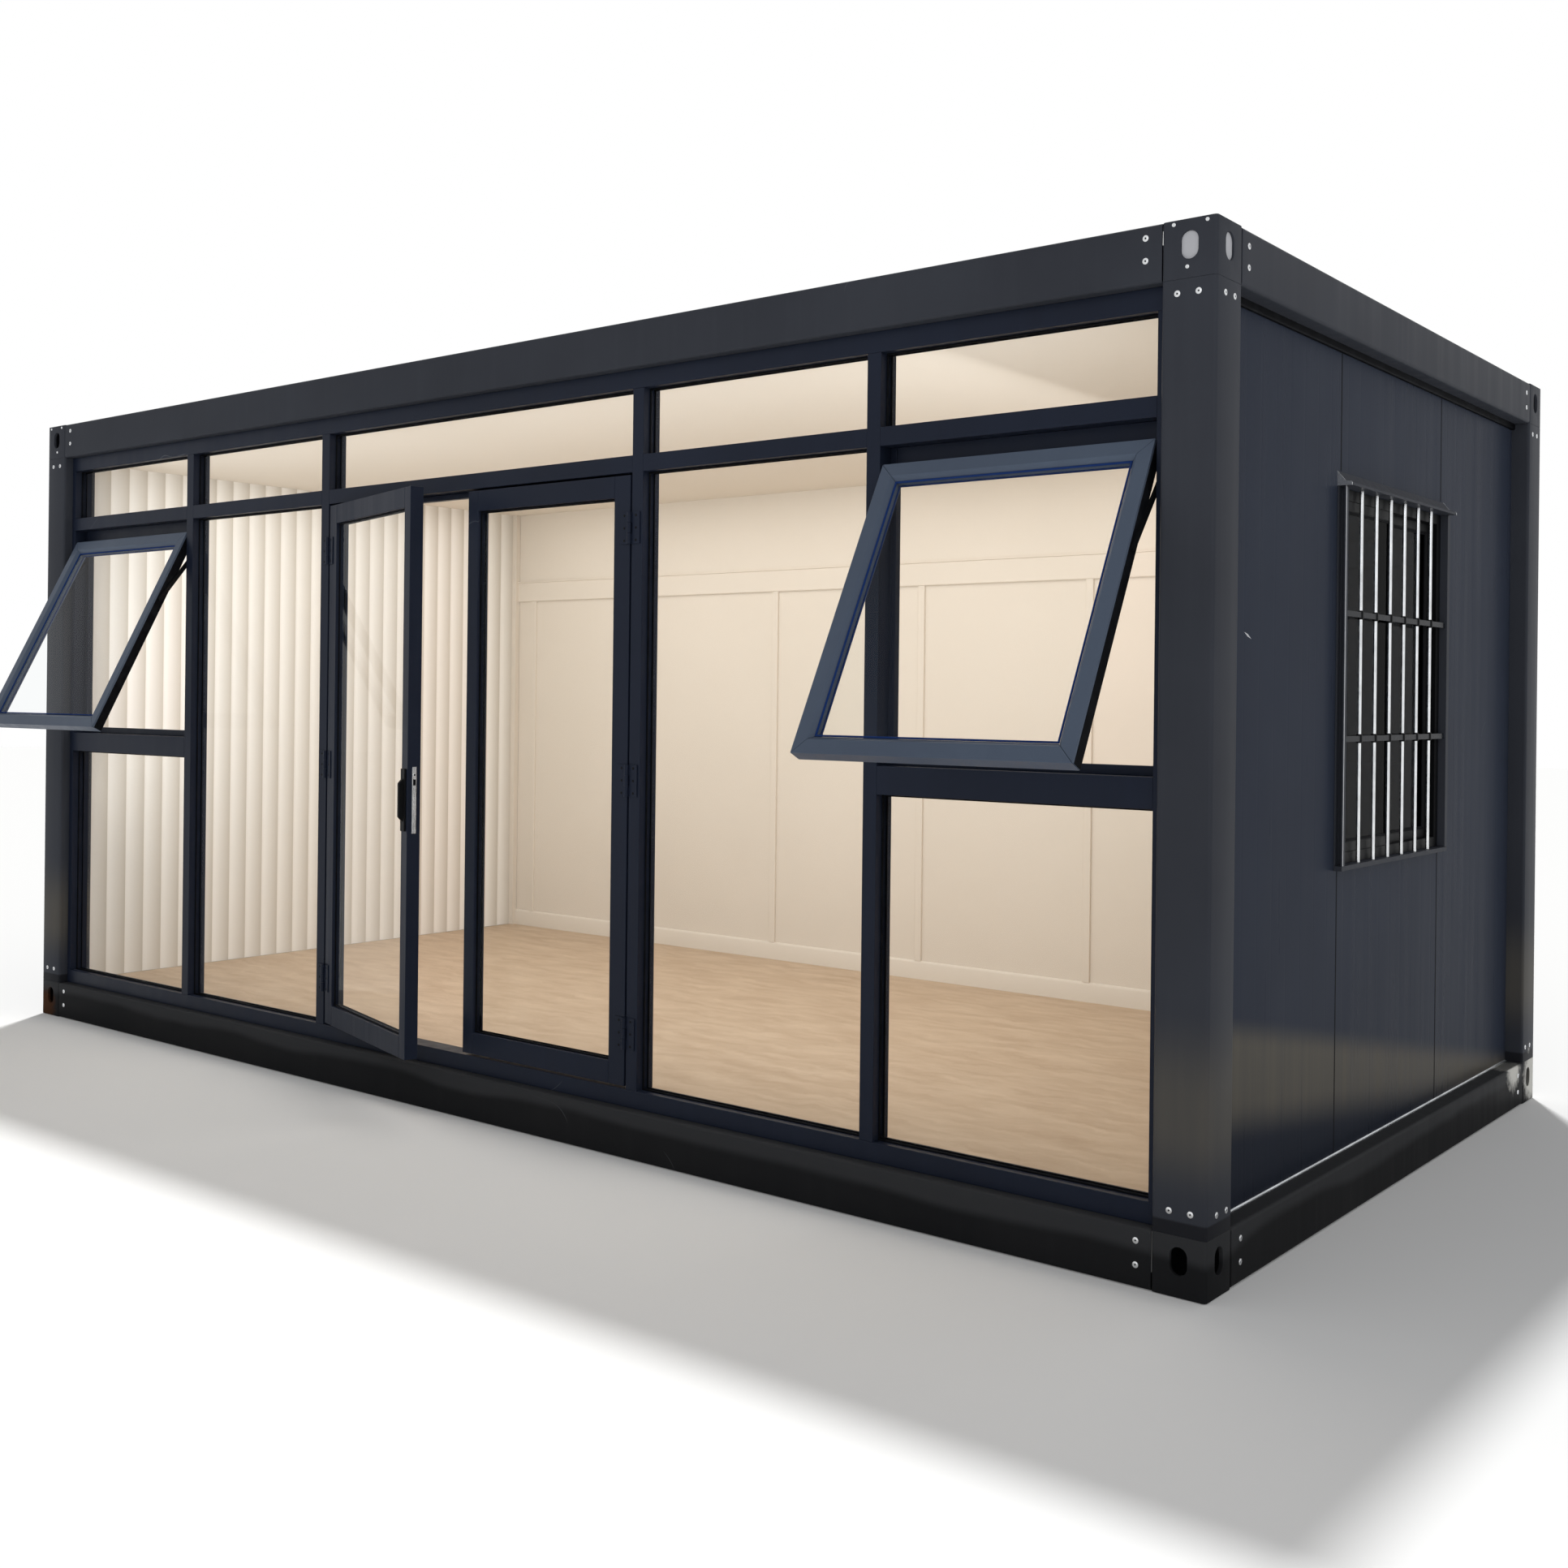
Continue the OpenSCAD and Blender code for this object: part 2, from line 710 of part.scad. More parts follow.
module leaf_stiles() {
  span([leaf_x[0], leaf_glass_x[0]], leaf_y, [leaf_low, leaf_top]);
  span([leaf_glass_x[1], leaf_x[1]], leaf_y, [leaf_low, leaf_top]);
}

module leaf_rails() {
  span(leaf_glass_x, leaf_y, [leaf_low, leaf_glass_z[0]]);
  span(leaf_glass_x, leaf_y, [leaf_glass_z[1], leaf_top]);
}

module leaf_pane() {
  y = leaf_y[0] + (leaf_t - glass_t) / 2;
  span(leaf_glass_x, [y, y + glass_t], leaf_glass_z);
}

// A hinge plate on the face of a leaf or a mullion, and its arm to a barrel piece
module hinge_plate_and_arm(z, h) {
  y = [barrel_r - hinge_plate[1], barrel_r];
  span([barrel_r + 2, barrel_r + 2 + hinge_plate[0]], y, [z, z + hinge_h]);
  span([0, barrel_r + 3], y, moved(h, z));
}

// Leaf side of the hinges: the middle barrel piece, bored for the pin
module leaf_hinges() {
  middle = [knuckle_h + knuckle_gap, 2 * knuckle_h - knuckle_gap];
  for (z = hinge_z) difference() {
    union() {
      hinge_plate_and_arm(z - hinge_h / 2, middle);
      translate([0, 0, z - hinge_h / 2 + middle[0]]) cylinder(r = barrel_r, h = middle[1] - middle[0]);
    }
    translate([0, 0, z - hinge_h / 2]) cylinder(r = bore_r, h = hinge_h);
  }
}

// Frame side of the hinges: the two outer barrel pieces and the pin through all three
module frame_hinge_set() {
  for (z = hinge_z) mirror([1, 0, 0]) union() {
    for (h = [[0, knuckle_h], [2 * knuckle_h, hinge_h]]) {
      hinge_plate_and_arm(z - hinge_h / 2, h);
      translate([0, 0, z - hinge_h / 2 + h[0]]) cylinder(r = barrel_r, h = h[1] - h[0]);
    }
    translate([0, 0, z - hinge_h / 2]) cylinder(r = pin_r, h = hinge_h);
  }
}

module frame_hinges() {
  color("#2B2F34") {
    translate([door_left + hinge_edge, front_y + axis_recess, 0]) frame_hinge_set();
    right_leaf() frame_hinge_set();
  }
}

module left_door_stiles() {
  color(leaf_colour) left_leaf() leaf_stiles();
}

module left_door_rails() {
  color(leaf_colour) left_leaf() leaf_rails();
}

module left_door_glass() {
  color(glass_colour) left_leaf() leaf_pane();
}

// A long plate with a low pull ridge on the outer face of the meeting stile
module left_door_handle() {
  x = leaf_x[1] - meeting_bar_w / 2;
  foot = -handle_plate[1] / 2;
  crest = -handle_plate[1] - handle_ridge[1];
  half = handle_ridge[2] / 2;
  ridge = [[foot, -half], [foot, half], [crest, half - handle_slope], [crest, handle_slope - half]];
  color("#0C0D0F") left_leaf() translate([x, barrel_r, handle_z]) union() {
    translate([-handle_plate[0] / 2, -handle_plate[1], -handle_plate[2] / 2]) cube(handle_plate);
    translate([-handle_ridge[0] / 2, 0, 0]) rotate([90, 0, 90])
      linear_extrude(handle_ridge[0]) polygon(ridge);
  }
}

module left_door_lock() {
  y = leaf_y[0] + (leaf_t - lock_size[1]) / 2;
  color(bright_colour) left_leaf()
    span([leaf_x[1], leaf_x[1] + lock_size[0]], [y, y + lock_size[1]], about(handle_z, lock_size[2]));
}

module left_door_hinges() {
  color("#2B2F34") left_leaf() leaf_hinges();
}

module right_door_stiles() {
  color(leaf_colour) right_leaf() leaf_stiles();
}

module right_door_rails() {
  color(leaf_colour) right_leaf() leaf_rails();
}

module right_door_glass() {
  color(glass_colour) right_leaf() leaf_pane();
}

module right_door_hinges() {
  color("#2B2F34") right_leaf() leaf_hinges();
}

bottom_corner_blocks();
top_corner_blocks();
corner_posts();
bottom_beams();
top_beams();
floor_joists();
floor_deck();
floor_finish();
roof_purlins();
roof_sheet();
ceiling();
back_wall();
left_end_wall();
right_end_wall();
back_lining();
left_lining();
right_lining();
front_sill();
front_head();
front_jambs();
front_mullions();
front_transoms();
top_light_glass();
fixed_glass();
door_stops();
awning_stops();
awning_sashes();
awning_glass();
awning_stays();
end_window_frame();
end_window_sashes();
end_window_glass();
end_window_grille();
end_window_surround();
frame_hinges();
left_door_stiles();
left_door_rails();
left_door_glass();
left_door_handle();
left_door_lock();
left_door_hinges();
right_door_stiles();
right_door_rails();
right_door_glass();
right_door_hinges();
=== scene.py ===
import json
import math

import bmesh
import bpy
import numpy as np
from mathutils import Matrix, Vector

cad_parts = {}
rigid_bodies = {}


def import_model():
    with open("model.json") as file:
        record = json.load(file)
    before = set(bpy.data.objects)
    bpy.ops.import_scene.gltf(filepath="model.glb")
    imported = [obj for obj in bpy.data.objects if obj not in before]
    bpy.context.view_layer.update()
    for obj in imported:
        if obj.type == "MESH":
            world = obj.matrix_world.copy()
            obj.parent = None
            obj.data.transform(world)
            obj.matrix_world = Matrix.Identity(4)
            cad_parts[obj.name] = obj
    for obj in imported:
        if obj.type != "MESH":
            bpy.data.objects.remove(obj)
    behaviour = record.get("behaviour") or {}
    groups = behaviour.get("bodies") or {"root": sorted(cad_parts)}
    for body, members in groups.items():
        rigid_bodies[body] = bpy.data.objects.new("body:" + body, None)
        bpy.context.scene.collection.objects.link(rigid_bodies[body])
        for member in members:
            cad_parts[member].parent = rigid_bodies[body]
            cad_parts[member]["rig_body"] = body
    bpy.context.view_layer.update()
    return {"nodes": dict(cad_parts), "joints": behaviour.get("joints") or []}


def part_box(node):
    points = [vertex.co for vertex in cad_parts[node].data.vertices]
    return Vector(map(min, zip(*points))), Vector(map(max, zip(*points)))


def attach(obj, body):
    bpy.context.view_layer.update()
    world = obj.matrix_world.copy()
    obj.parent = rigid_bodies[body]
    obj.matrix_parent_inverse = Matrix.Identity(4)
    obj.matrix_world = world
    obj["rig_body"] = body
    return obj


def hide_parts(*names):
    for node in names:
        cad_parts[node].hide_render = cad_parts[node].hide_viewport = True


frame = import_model()
nodes = frame["nodes"]
scene = bpy.context.scene

# Places taken from the frame, in metres
mm = 0.001
block_low, block_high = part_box("bottom_corner_blocks")
sill_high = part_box("front_sill")[1]
wall_low, wall_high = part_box("right_end_wall")
left_wall_low, left_wall_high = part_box("left_end_wall")
back_wall_low, back_wall_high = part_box("back_wall")
lining_low, lining_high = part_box("back_lining")
slats_low, slats_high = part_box("left_lining")
surround_low, surround_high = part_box("end_window_surround")
grille_low, grille_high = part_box("end_window_grille")
front_y = block_low.y
back_y = block_high.y
right_x = block_high.x
base_top = block_high.z

# Hinge axes, and the turns in degrees of the leaf that stands ajar and of the open sashes
hinges = {joint["child"]: joint for joint in frame["joints"]}
left_axis = np.array(hinges["left_door"]["pos_m"]) * (1, 1, 0)
right_axis = np.array(hinges["right_door"]["pos_m"]) * (1, 1, 0)
hinge_middle = hinges["left_door"]["pos_m"][2]
ajar_angle = hinges["left_door"]["range_deg"][0]
awning_angle = -26.7
ajar_turn = np.array(Matrix.Rotation(math.radians(ajar_angle), 3, "Z"))
awning_turn = np.array(Matrix.Rotation(math.radians(awning_angle), 3, "X"))
level_turn = np.eye(3)

# Camera at the photograph's place: metres, degrees, and millimetres on the sensor
camera_place = (4.8189, -5.34595, 1.5417)
camera_turn = 38.867
camera_roll = 0.644
camera_sensor = 36
camera_lens = 38.524
camera_shift = -0.0543


def place_camera():
    """Level camera turned to the left of +Y and rolled a little, with a shift down."""
    turn = math.radians(camera_turn)
    roll = math.radians(camera_roll)
    ahead = Vector((-math.sin(turn), math.cos(turn), 0))
    level = Vector((math.cos(turn), math.sin(turn), 0))
    up = Vector((0, 0, 1))
    right = math.cos(roll) * level + math.sin(roll) * up
    top = -math.sin(roll) * level + math.cos(roll) * up
    camera = bpy.data.objects.new("camera", bpy.data.cameras.new("camera"))
    scene.collection.objects.link(camera)
    axes = Matrix((right, top, -ahead)).transposed().to_4x4()
    camera.matrix_world = Matrix.Translation(camera_place) @ axes
    camera.data.sensor_width = camera_sensor
    camera.data.lens = camera_lens
    camera.data.shift_y = camera_shift
    scene.camera = camera


place_camera()


# Material tools. Sizes of patterns are in metres. Grains of paint, metal, board and rubber are really 0.1 to
# 2 mm wide, which doesn't show from here, so they are drawn at 2 to 10 mm

def linear(code):
    """A hex sRGB colour as linear RGBA."""
    parts = np.array([int(code[i:i + 2], 16) for i in (1, 3, 5)]) / 255
    parts = np.where(parts <= 0.04045, parts / 12.92, ((parts + 0.055) / 1.055) ** 2.4)
    return (*parts, 1)


def add(tree, kind, inputs=None, **settings):
    """Adds one node: settings become its properties, inputs become links or socket values."""
    made = tree.nodes.new("ShaderNode" + kind)
    for name, value in settings.items():
        setattr(made, name, value)
    for name, value in (inputs or {}).items():
        if isinstance(value, bpy.types.NodeSocket):
            tree.links.new(value, made.inputs[name])
        else:
            made.inputs[name].default_value = value
    return made


def new_finish(name):
    """A new material with its tree, its Principled shader and its Object coordinates."""
    made = bpy.data.materials.new(name)
    made.use_nodes = True
    tree = made.node_tree
    place = add(tree, "TexCoord").outputs["Object"]
    return made, tree, tree.nodes["Principled BSDF"], place


def grain_scale(sizes):
    """Scale of a pattern with the given size along each axis, in metres."""
    return tuple(1 / size for size in sizes)


# Marks on paint: each gives its share of the surface, and most give its colour too

def scratch_mask(tree, place, size=0.35, width=0.0018, amount=0.31):
    """Thin curved lines where a noise crosses its middle, kept only in a few patches. width and amount are
    shares of the noise's range."""
    bent = add(tree, "TexNoise", {"Vector": place, "Scale": 1 / size, "Detail": 1.0})
    off = add(tree, "Math", {0: bent.outputs[0], 1: 0.5}, operation="SUBTRACT")
    away = add(tree, "Math", {0: off.outputs[0]}, operation="ABSOLUTE")
    line = add(tree, "MapRange", {"Value": away.outputs[0], 1: 0.0, 2: width, 3: 1.0, 4: 0.0})
    patch = add(tree, "TexNoise", {"Vector": place, "Scale": 0.7 / size, "Detail": 2.0})
    kept = add(tree, "MapRange", {"Value": patch.outputs[0], 1: 1 - amount, 2: 1.04 - amount, 3: 0.0, 4: 1.0})
    return add(tree, "Math", {0: line.outputs[0], 1: kept.outputs[0]}, operation="MULTIPLY").outputs[0]


def near_mask(tree, place, point, reach, edge=0.05, flake=0.02):
    """1 within a reach of a point, with an edge that a noise of the size of a flake breaks up."""
    away = add(tree, "VectorMath", {0: place, 1: point}, operation="DISTANCE").outputs["Value"]
    ragged = add(tree, "TexNoise", {"Vector": place, "Scale": 1 / flake, "Detail": 5.0, "Roughness": 0.7})
    moved = add(tree, "Math", {0: ragged.outputs[0], 1: 2 * edge, 2: away}, operation="MULTIPLY_ADD")
    inside = add(tree, "MapRange", {"Value": moved.outputs[0], 1: reach, 2: reach + edge, 3: 1.0, 4: 0.0})
    return inside.outputs[0]


def splash_and_reflection_layers(tree, place, runs, splash_and_reflection, splash_and_reflection_heights, painted_shade_below):
    """A band that follows the runs, partly dried splash and partly a painted reflection of the lit floor,
    over darker paint below it that is painted shade. The heights given are those between which the band
    starts and those between which it ends, each with its fall in metres per metre towards the back."""
    axis = add(tree, "SeparateXYZ", {0: place}).outputs
    edges = []
    for (low, high, lean), (below, above) in zip(splash_and_reflection_heights, ((0.0, 1.0), (splash_and_reflection, 0.0))):
        height = add(tree, "Math", {0: axis[1], 1: lean, 2: axis[2]}, operation="MULTIPLY_ADD")
        edges.append(add(
            tree, "MapRange", {"Value": height.outputs[0], 1: low, 2: high, 3: below, 4: above},
            interpolation_type="SMOOTHSTEP",
        ).outputs[0])
    start, end = edges
    band = add(tree, "Math", {0: start, 1: end}, operation="MULTIPLY")
    spread = add(tree, "MapRange", {"Value": runs, 1: 0.3, 2: 0.7, 3: 0.7, 4: 1.0})
    splash_and_reflection_share = add(tree, "Math", {0: band.outputs[0], 1: spread.outputs[0]}, operation="MULTIPLY")
    layers = [(splash_and_reflection_share.outputs[0], linear("#6E685B"))]
    # Darker paint under the band: painted shade
    if painted_shade_below:
        painted_shade = add(tree, "MapRange", {"Value": start, 3: painted_shade_below, 4: 0.0})
        layers.insert(0, (painted_shade.outputs[0], linear("#121316")))
    return layers


def foot_layer(tree, place, top, shade, soft=0.003):
    """Another colour below a height, with a soft edge to both sides of it."""
    height = add(tree, "SeparateXYZ", {0: place}).outputs[2]
    below = add(tree, "MapRange", {"Value": height, 1: top - soft, 2: top + soft, 3: 1.0, 4: 0.0})
    return below.outputs[0], linear(shade)


def painted_sheen_layer(tree, place, bottom, shade, swell_width=0.8, sway=0.12):
    """A painted highlight: a lighter band above a height that stands in for sheen, with an edge that a wide
    noise moves up and down.
    """
    height = add(tree, "SeparateXYZ", {0: place}).outputs[2]
    swell = add(tree, "TexNoise", {"Vector": place, "Scale": 1 / swell_width, "Detail": 2.0})
    edge = add(tree, "Math", {0: swell.outputs[0], 1: sway, 2: height}, operation="MULTIPLY_ADD")
    sheen = add(
        tree, "MapRange", {"Value": edge.outputs[0], 1: bottom + 0.05, 2: bottom + 0.085, 3: 0.0, 4: 0.8},
        interpolation_type="SMOOTHSTEP",
    )
    return sheen.outputs[0], linear(shade)


def nick_layer(tree, place, middle, turn, half_length, half_width):
    """One scratch down to the primer on an end wall: a turned rhomb, pointed at both ends."""
    local = add(tree, "Mapping", {
        "Vector": place, "Location": middle, "Rotation": (turn, 0, 0), "Scale": (1, half_length, half_width),
    }, vector_type="TEXTURE")
    size = add(tree, "VectorMath", {0: local.outputs[0]}, operation="ABSOLUTE")
    away = add(tree, "VectorMath", {0: size.outputs[0], 1: (0, 1, 1)}, operation="DOT_PRODUCT")
    inside = add(tree, "Math", {0: away.outputs["Value"], 1: 1.0}, operation="LESS_THAN")
    return inside.outputs[0], linear("#C8CACE")


# Heights in metres between which a level band of splash and painted reflection starts and ends, with no fall
level_splash_and_reflection = ((0.24, 0.44, 0), (0.5, 0.76, 0))
# Patterns in paint
cloud_width = 0.5
run_size = (0.05, 0.05, 1.4)
rust_grain = 0.006
dimple = 0.007
sway_width = 0.45


def powder_coat(name, tones, rough, level, peel=0.08, wave=0.0, splash_and_reflection=0.0, splash_and_reflection_heights=level_splash_and_reflection, painted_shade_below=0.0,
                foot=None, painted_sheen=None, nick=None, rust=(), worn=()):
    """Oven-baked paint on metal: a cloudy tone between two colours, faint runs down the face, an orange-peel
    skin, a few fine scratches, and the marks that are asked for. rust and worn hold (point, reach) pairs in
    metres, where the paint has gone to rust or to bare metal. peel is the strength of the skin, and wave the
    depth in metres of slow dents in the sheet."""
    made, tree, shader, place = new_finish(name)
    cloud = add(tree, "TexNoise", {
        "Vector": place, "Scale": 1 / cloud_width, "Detail": 3.0, "Roughness": 0.55,
    })
    tone = add(tree, "Mix", {0: cloud.outputs[0], 6: linear(tones[0]), 7: linear(tones[1])}, data_type="RGBA")
    drawn = add(tree, "Mapping", {"Vector": place, "Scale": grain_scale(run_size)})
    runs = add(tree, "TexNoise", {"Vector": drawn.outputs[0], "Scale": 1.0, "Detail": 4.0}).outputs[0]
    run_share = add(tree, "MapRange", {"Value": runs, 1: 0.52, 2: 0.75, 3: 0.0, 4: 0.08})
    scratch_share = add(tree, "Math", {0: scratch_mask(tree, place), 1: 0.35}, operation="MULTIPLY")
    layers = [(run_share.outputs[0], linear(tones[2])), (scratch_share.outputs[0], linear("#8E9196"))]
    # A low band, partly dried splash and partly painted reflection, with painted shade under it if asked for
    if splash_and_reflection:
        layers += splash_and_reflection_layers(tree, place, runs, splash_and_reflection, splash_and_reflection_heights, painted_shade_below)
    if foot:
        layers.append(foot_layer(tree, place, *foot))
    # A lighter band that is a painted highlight
    if painted_sheen:
        layers.append(painted_sheen_layer(tree, place, *painted_sheen))
    if nick:
        layers.append(nick_layer(tree, place, *nick))
    gloss = add(tree, "MapRange", {"Value": runs, 1: 0.3, 2: 0.7, 3: rough - 0.05, 4: rough + 0.07})
    roughness = gloss.outputs[0]
    metal = 0.0
    for point, reach in worn:
        spot = near_mask(tree, place, point, reach)
        layers.append((spot, linear("#A9A8A2")))
        roughness = add(tree, "Mix", {0: spot, 2: roughness, 3: 0.35}).outputs[0]
        bare = add(tree, "Math", {0: spot, 1: 0.8}, operation="MULTIPLY")
        metal = add(tree, "Math", {0: bare.outputs[0], 1: metal}, operation="MAXIMUM").outputs[0]
    for point, reach in rust:
        spot = near_mask(tree, place, point, reach)
        grain = add(tree, "TexNoise", {
            "Vector": place, "Scale": 1 / rust_grain, "Detail": 6.0, "Roughness": 0.7,
        })
        mottle = add(
            tree, "Mix", {0: grain.outputs[0], 6: linear("#5A3B28"), 7: linear("#2A211C")}, data_type="RGBA")
        layers.append((spot, mottle.outputs[2]))
        roughness = add(tree, "Mix", {0: spot, 2: roughness, 3: 0.85}).outputs[0]
    colour = tone.outputs[2]
    for share, shade in layers:
        colour = add(tree, "Mix", {0: share, 6: colour, 7: shade}, data_type="RGBA").outputs[2]
    skin = add(tree, "TexNoise", {"Vector": place, "Scale": 1 / dimple, "Detail": 2.0})
    bump = add(tree, "Bump", {"Height": skin.outputs[0], "Strength": peel, "Distance": 0.001})
    if wave:
        sway = add(tree, "TexNoise", {"Vector": place, "Scale": 1 / sway_width, "Detail": 1.0})
        bump = add(tree, "Bump", {
            "Height": sway.outputs[0], "Strength": 1.0, "Distance": wave, "Normal": bump.outputs[0],
        })
    tree.links.new(colour, shader.inputs["Base Color"])
    tree.links.new(roughness, shader.inputs["Roughness"])
    tree.links.new(bump.outputs[0], shader.inputs["Normal"])
    if worn:
        tree.links.new(metal, shader.inputs["Metallic"])
    shader.inputs["Specular IOR Level"].default_value = level
    return made


def bare_metal(name, shade, rough, brush, patch_width=0.06):
    """Metal with a fine brushed or rolled grain that makes its gloss streaky, and a few dull patches. brush
    holds the size of the grain along each axis, in metres."""
    made, tree, shader, place = new_finish(name)
    drawn = add(tree, "Mapping", {"Vector": place, "Scale": grain_scale(brush)})
    grain = add(
        tree, "TexNoise", {"Vector": drawn.outputs[0], "Scale": 1.0, "Detail": 4.0, "Roughness": 0.65},
    ).outputs[0]
    patch = add(tree, "TexNoise", {"Vector": place, "Scale": 1 / patch_width, "Detail": 3.0})
    dull = add(tree, "MapRange", {"Value": patch.outputs[0], 1: 0.35, 2: 0.75, 3: 0.0, 4: 0.4})
    mixed = add(tree, "Mix", {0: dull.outputs[0], 6: linear(shade), 7: linear("#9C9EA0")}, data_type="RGBA")
    level = add(tree, "MapRange", {"Value": grain, 1: 0.3, 2: 0.7, 3: rough - 0.06, 4: rough + 0.1})
    bump = add(tree, "Bump", {"Height": grain, "Strength": 0.06, "Distance": 0.001})
    tree.links.new(mixed.outputs[2], shader.inputs["Base Color"])
    tree.links.new(level.outputs[0], shader.inputs["Roughness"])
    tree.links.new(bump.outputs[0], shader.inputs["Normal"])
    shader.inputs["Metallic"].default_value = 1.0
    return made


def painted_board(name, tones, cloud_size, rough, texture, stipple_size=0.006):
    """Rolled emulsion on board: two close tones in soft clouds and a fine stipple of the roller."""
    made, tree, shader, place = new_finish(name)
    cloud = add(tree, "TexNoise", {"Vector": place, "Scale": 1 / cloud_size, "Detail": 3.0})
    tone = add(tree, "Mix", {0: cloud.outputs[0], 6: linear(tones[0]), 7: linear(tones[1])}, data_type="RGBA")
    stipple = add(tree, "TexNoise", {"Vector": place, "Scale": 1 / stipple_size, "Detail": 3.0})
    bump = add(tree, "Bump", {"Height": stipple.outputs[0], "Strength": texture, "Distance": 0.001})
    tree.links.new(tone.outputs[2], shader.inputs["Base Color"])
    tree.links.new(bump.outputs[0], shader.inputs["Normal"])
    shader.inputs["Roughness"].default_value = rough
    shader.inputs["Specular IOR Level"].default_value = 0.3
    return made


def slat_finish_with_painted_shade(slat_count=28, fibre_size=(0.004, 0.004, 0.3)):
    """Satin white slats with painted shade: each is coloured a little brighter at its front edge and darker
    at its back edge, standing in for the shading across its face.
    """
    made, tree, shader, place = new_finish("satin_white_slats_painted_shade")
    pitch = (slats_high.y - slats_low.y) / slat_count
    axis = add(tree, "SeparateXYZ", {0: place})
    along = add(tree, "Math", {0: axis.outputs[1], 1: slats_low.y}, operation="SUBTRACT")
    turns = add(tree, "Math", {0: along.outputs[0], 1: pitch}, operation="DIVIDE")
    part = add(tree, "Math", {0: turns.outputs[0]}, operation="FRACT")
    # Painted shade from the front edge to the back edge of each slat
    edge = add(tree, "MapRange", {"Value": part.outputs[0], 1: 0.2, 2: 1.0}).outputs[0]
    tone = add(tree, "Mix", {0: edge, 6: linear("#F8F5F0"), 7: linear("#CFC8BD")}, data_type="RGBA")
    grain = add(tree, "Mapping", {"Vector": place, "Scale": grain_scale(fibre_size)})
    fibre = add(tree, "TexNoise", {"Vector": grain.outputs[0], "Scale": 1.0, "Detail": 3.0})
    bump = add(tree, "Bump", {"Height": fibre.outputs[0], "Strength": 0.1, "Distance": 0.001})
    tree.links.new(tone.outputs[2], shader.inputs["Base Color"])
    tree.links.new(bump.outputs[0], shader.inputs["Normal"])
    shader.inputs["Roughness"].default_value = 0.55
    shader.inputs["Specular IOR Level"].default_value = 0.35
    return made


def floor_sheet(vein_size=(0.3, 0.07, 1.0), bend_width=0.25, bend_reach=0.22, fine_size=0.01):
    """Printed vinyl sheet: veins along the house that a wide noise bends, in warm sand tones, under a satin
    wear layer."""
    made, tree, shader, place = new_finish("printed_vinyl_sheet")
    bend = add(tree, "TexNoise", {"Vector": place, "Scale": 1 / bend_width, "Detail": 5.0, "Roughness": 0.7})
    push = add(tree, "VectorMath", {0: bend.outputs["Color"], 1: (0.5, 0.5, 0.5)}, operation="SUBTRACT")
    far = add(tree, "VectorMath", {0: push.outputs[0], "Scale": bend_reach}, operation="SCALE")
    moved = add(tree, "VectorMath", {0: place, 1: far.outputs[0]}, operation="ADD")
    long = add(tree, "Mapping", {"Vector": moved.outputs[0], "Scale": grain_scale(vein_size)})
    vein = add(tree, "TexNoise", {"Vector": long.outputs[0], "Scale": 1.0, "Detail": 6.0, "Roughness": 0.6})
    ramp = add(tree, "ValToRGB", {0: vein.outputs[0]})
    for stop, (position, shade) in zip(ramp.color_ramp.elements, ((0.3, "#B39A80"), (0.7, "#CAB49B"))):
        stop.position = position
        stop.color = linear(shade)
    fine = add(tree, "TexNoise", {"Vector": place, "Scale": 1 / fine_size, "Detail": 3.0})
    bump = add(tree, "Bump", {"Height": fine.outputs[0], "Strength": 0.08, "Distance": 0.001})
    tree.links.new(ramp.outputs[0], shader.inputs["Base Color"])
    tree.links.new(bump.outputs[0], shader.inputs["Normal"])
    shader.inputs["Roughness"].default_value = 0.5
    shader.inputs["Specular IOR Level"].default_value = 0.3
    return made


def pane_glass(name, tint, index, smear_width=0.4):
    """Float glass: see-through in its tint, with a mirror share that grows at a low angle."""
    made, tree, shader, place = new_finish(name)
    tree.nodes.remove(shader)
    smear = add(tree, "TexNoise", {"Vector": place, "Scale": 1 / smear_width, "Detail": 3.0})
    bump = add(tree, "Bump", {"Height": smear.outputs[0], "Strength": 0.15, "Distance": 0.002})
    through = add(tree, "BsdfTransparent", {"Color": linear(tint)})
    mirror = add(tree, "BsdfGlossy", {
        "Color": linear("#FFFFFF"), "Roughness": 0.02, "Normal": bump.outputs[0],
    })
    share = add(tree, "Fresnel", {"IOR": index})
    facing = add(tree, "NewGeometry")
    outer = add(tree, "Math", {0: 1.0, 1: facing.outputs["Backfacing"]}, operation="SUBTRACT")
    part = add(tree, "Math", {0: share.outputs[0], 1: outer.outputs[0]}, operation="MULTIPLY")
    both = add(tree, "MixShader", {0: part.outputs[0], 1: through.outputs[0], 2: mirror.outputs[0]})
    tree.links.new(both.outputs[0], tree.nodes["Material Output"].inputs["Surface"])
    return made


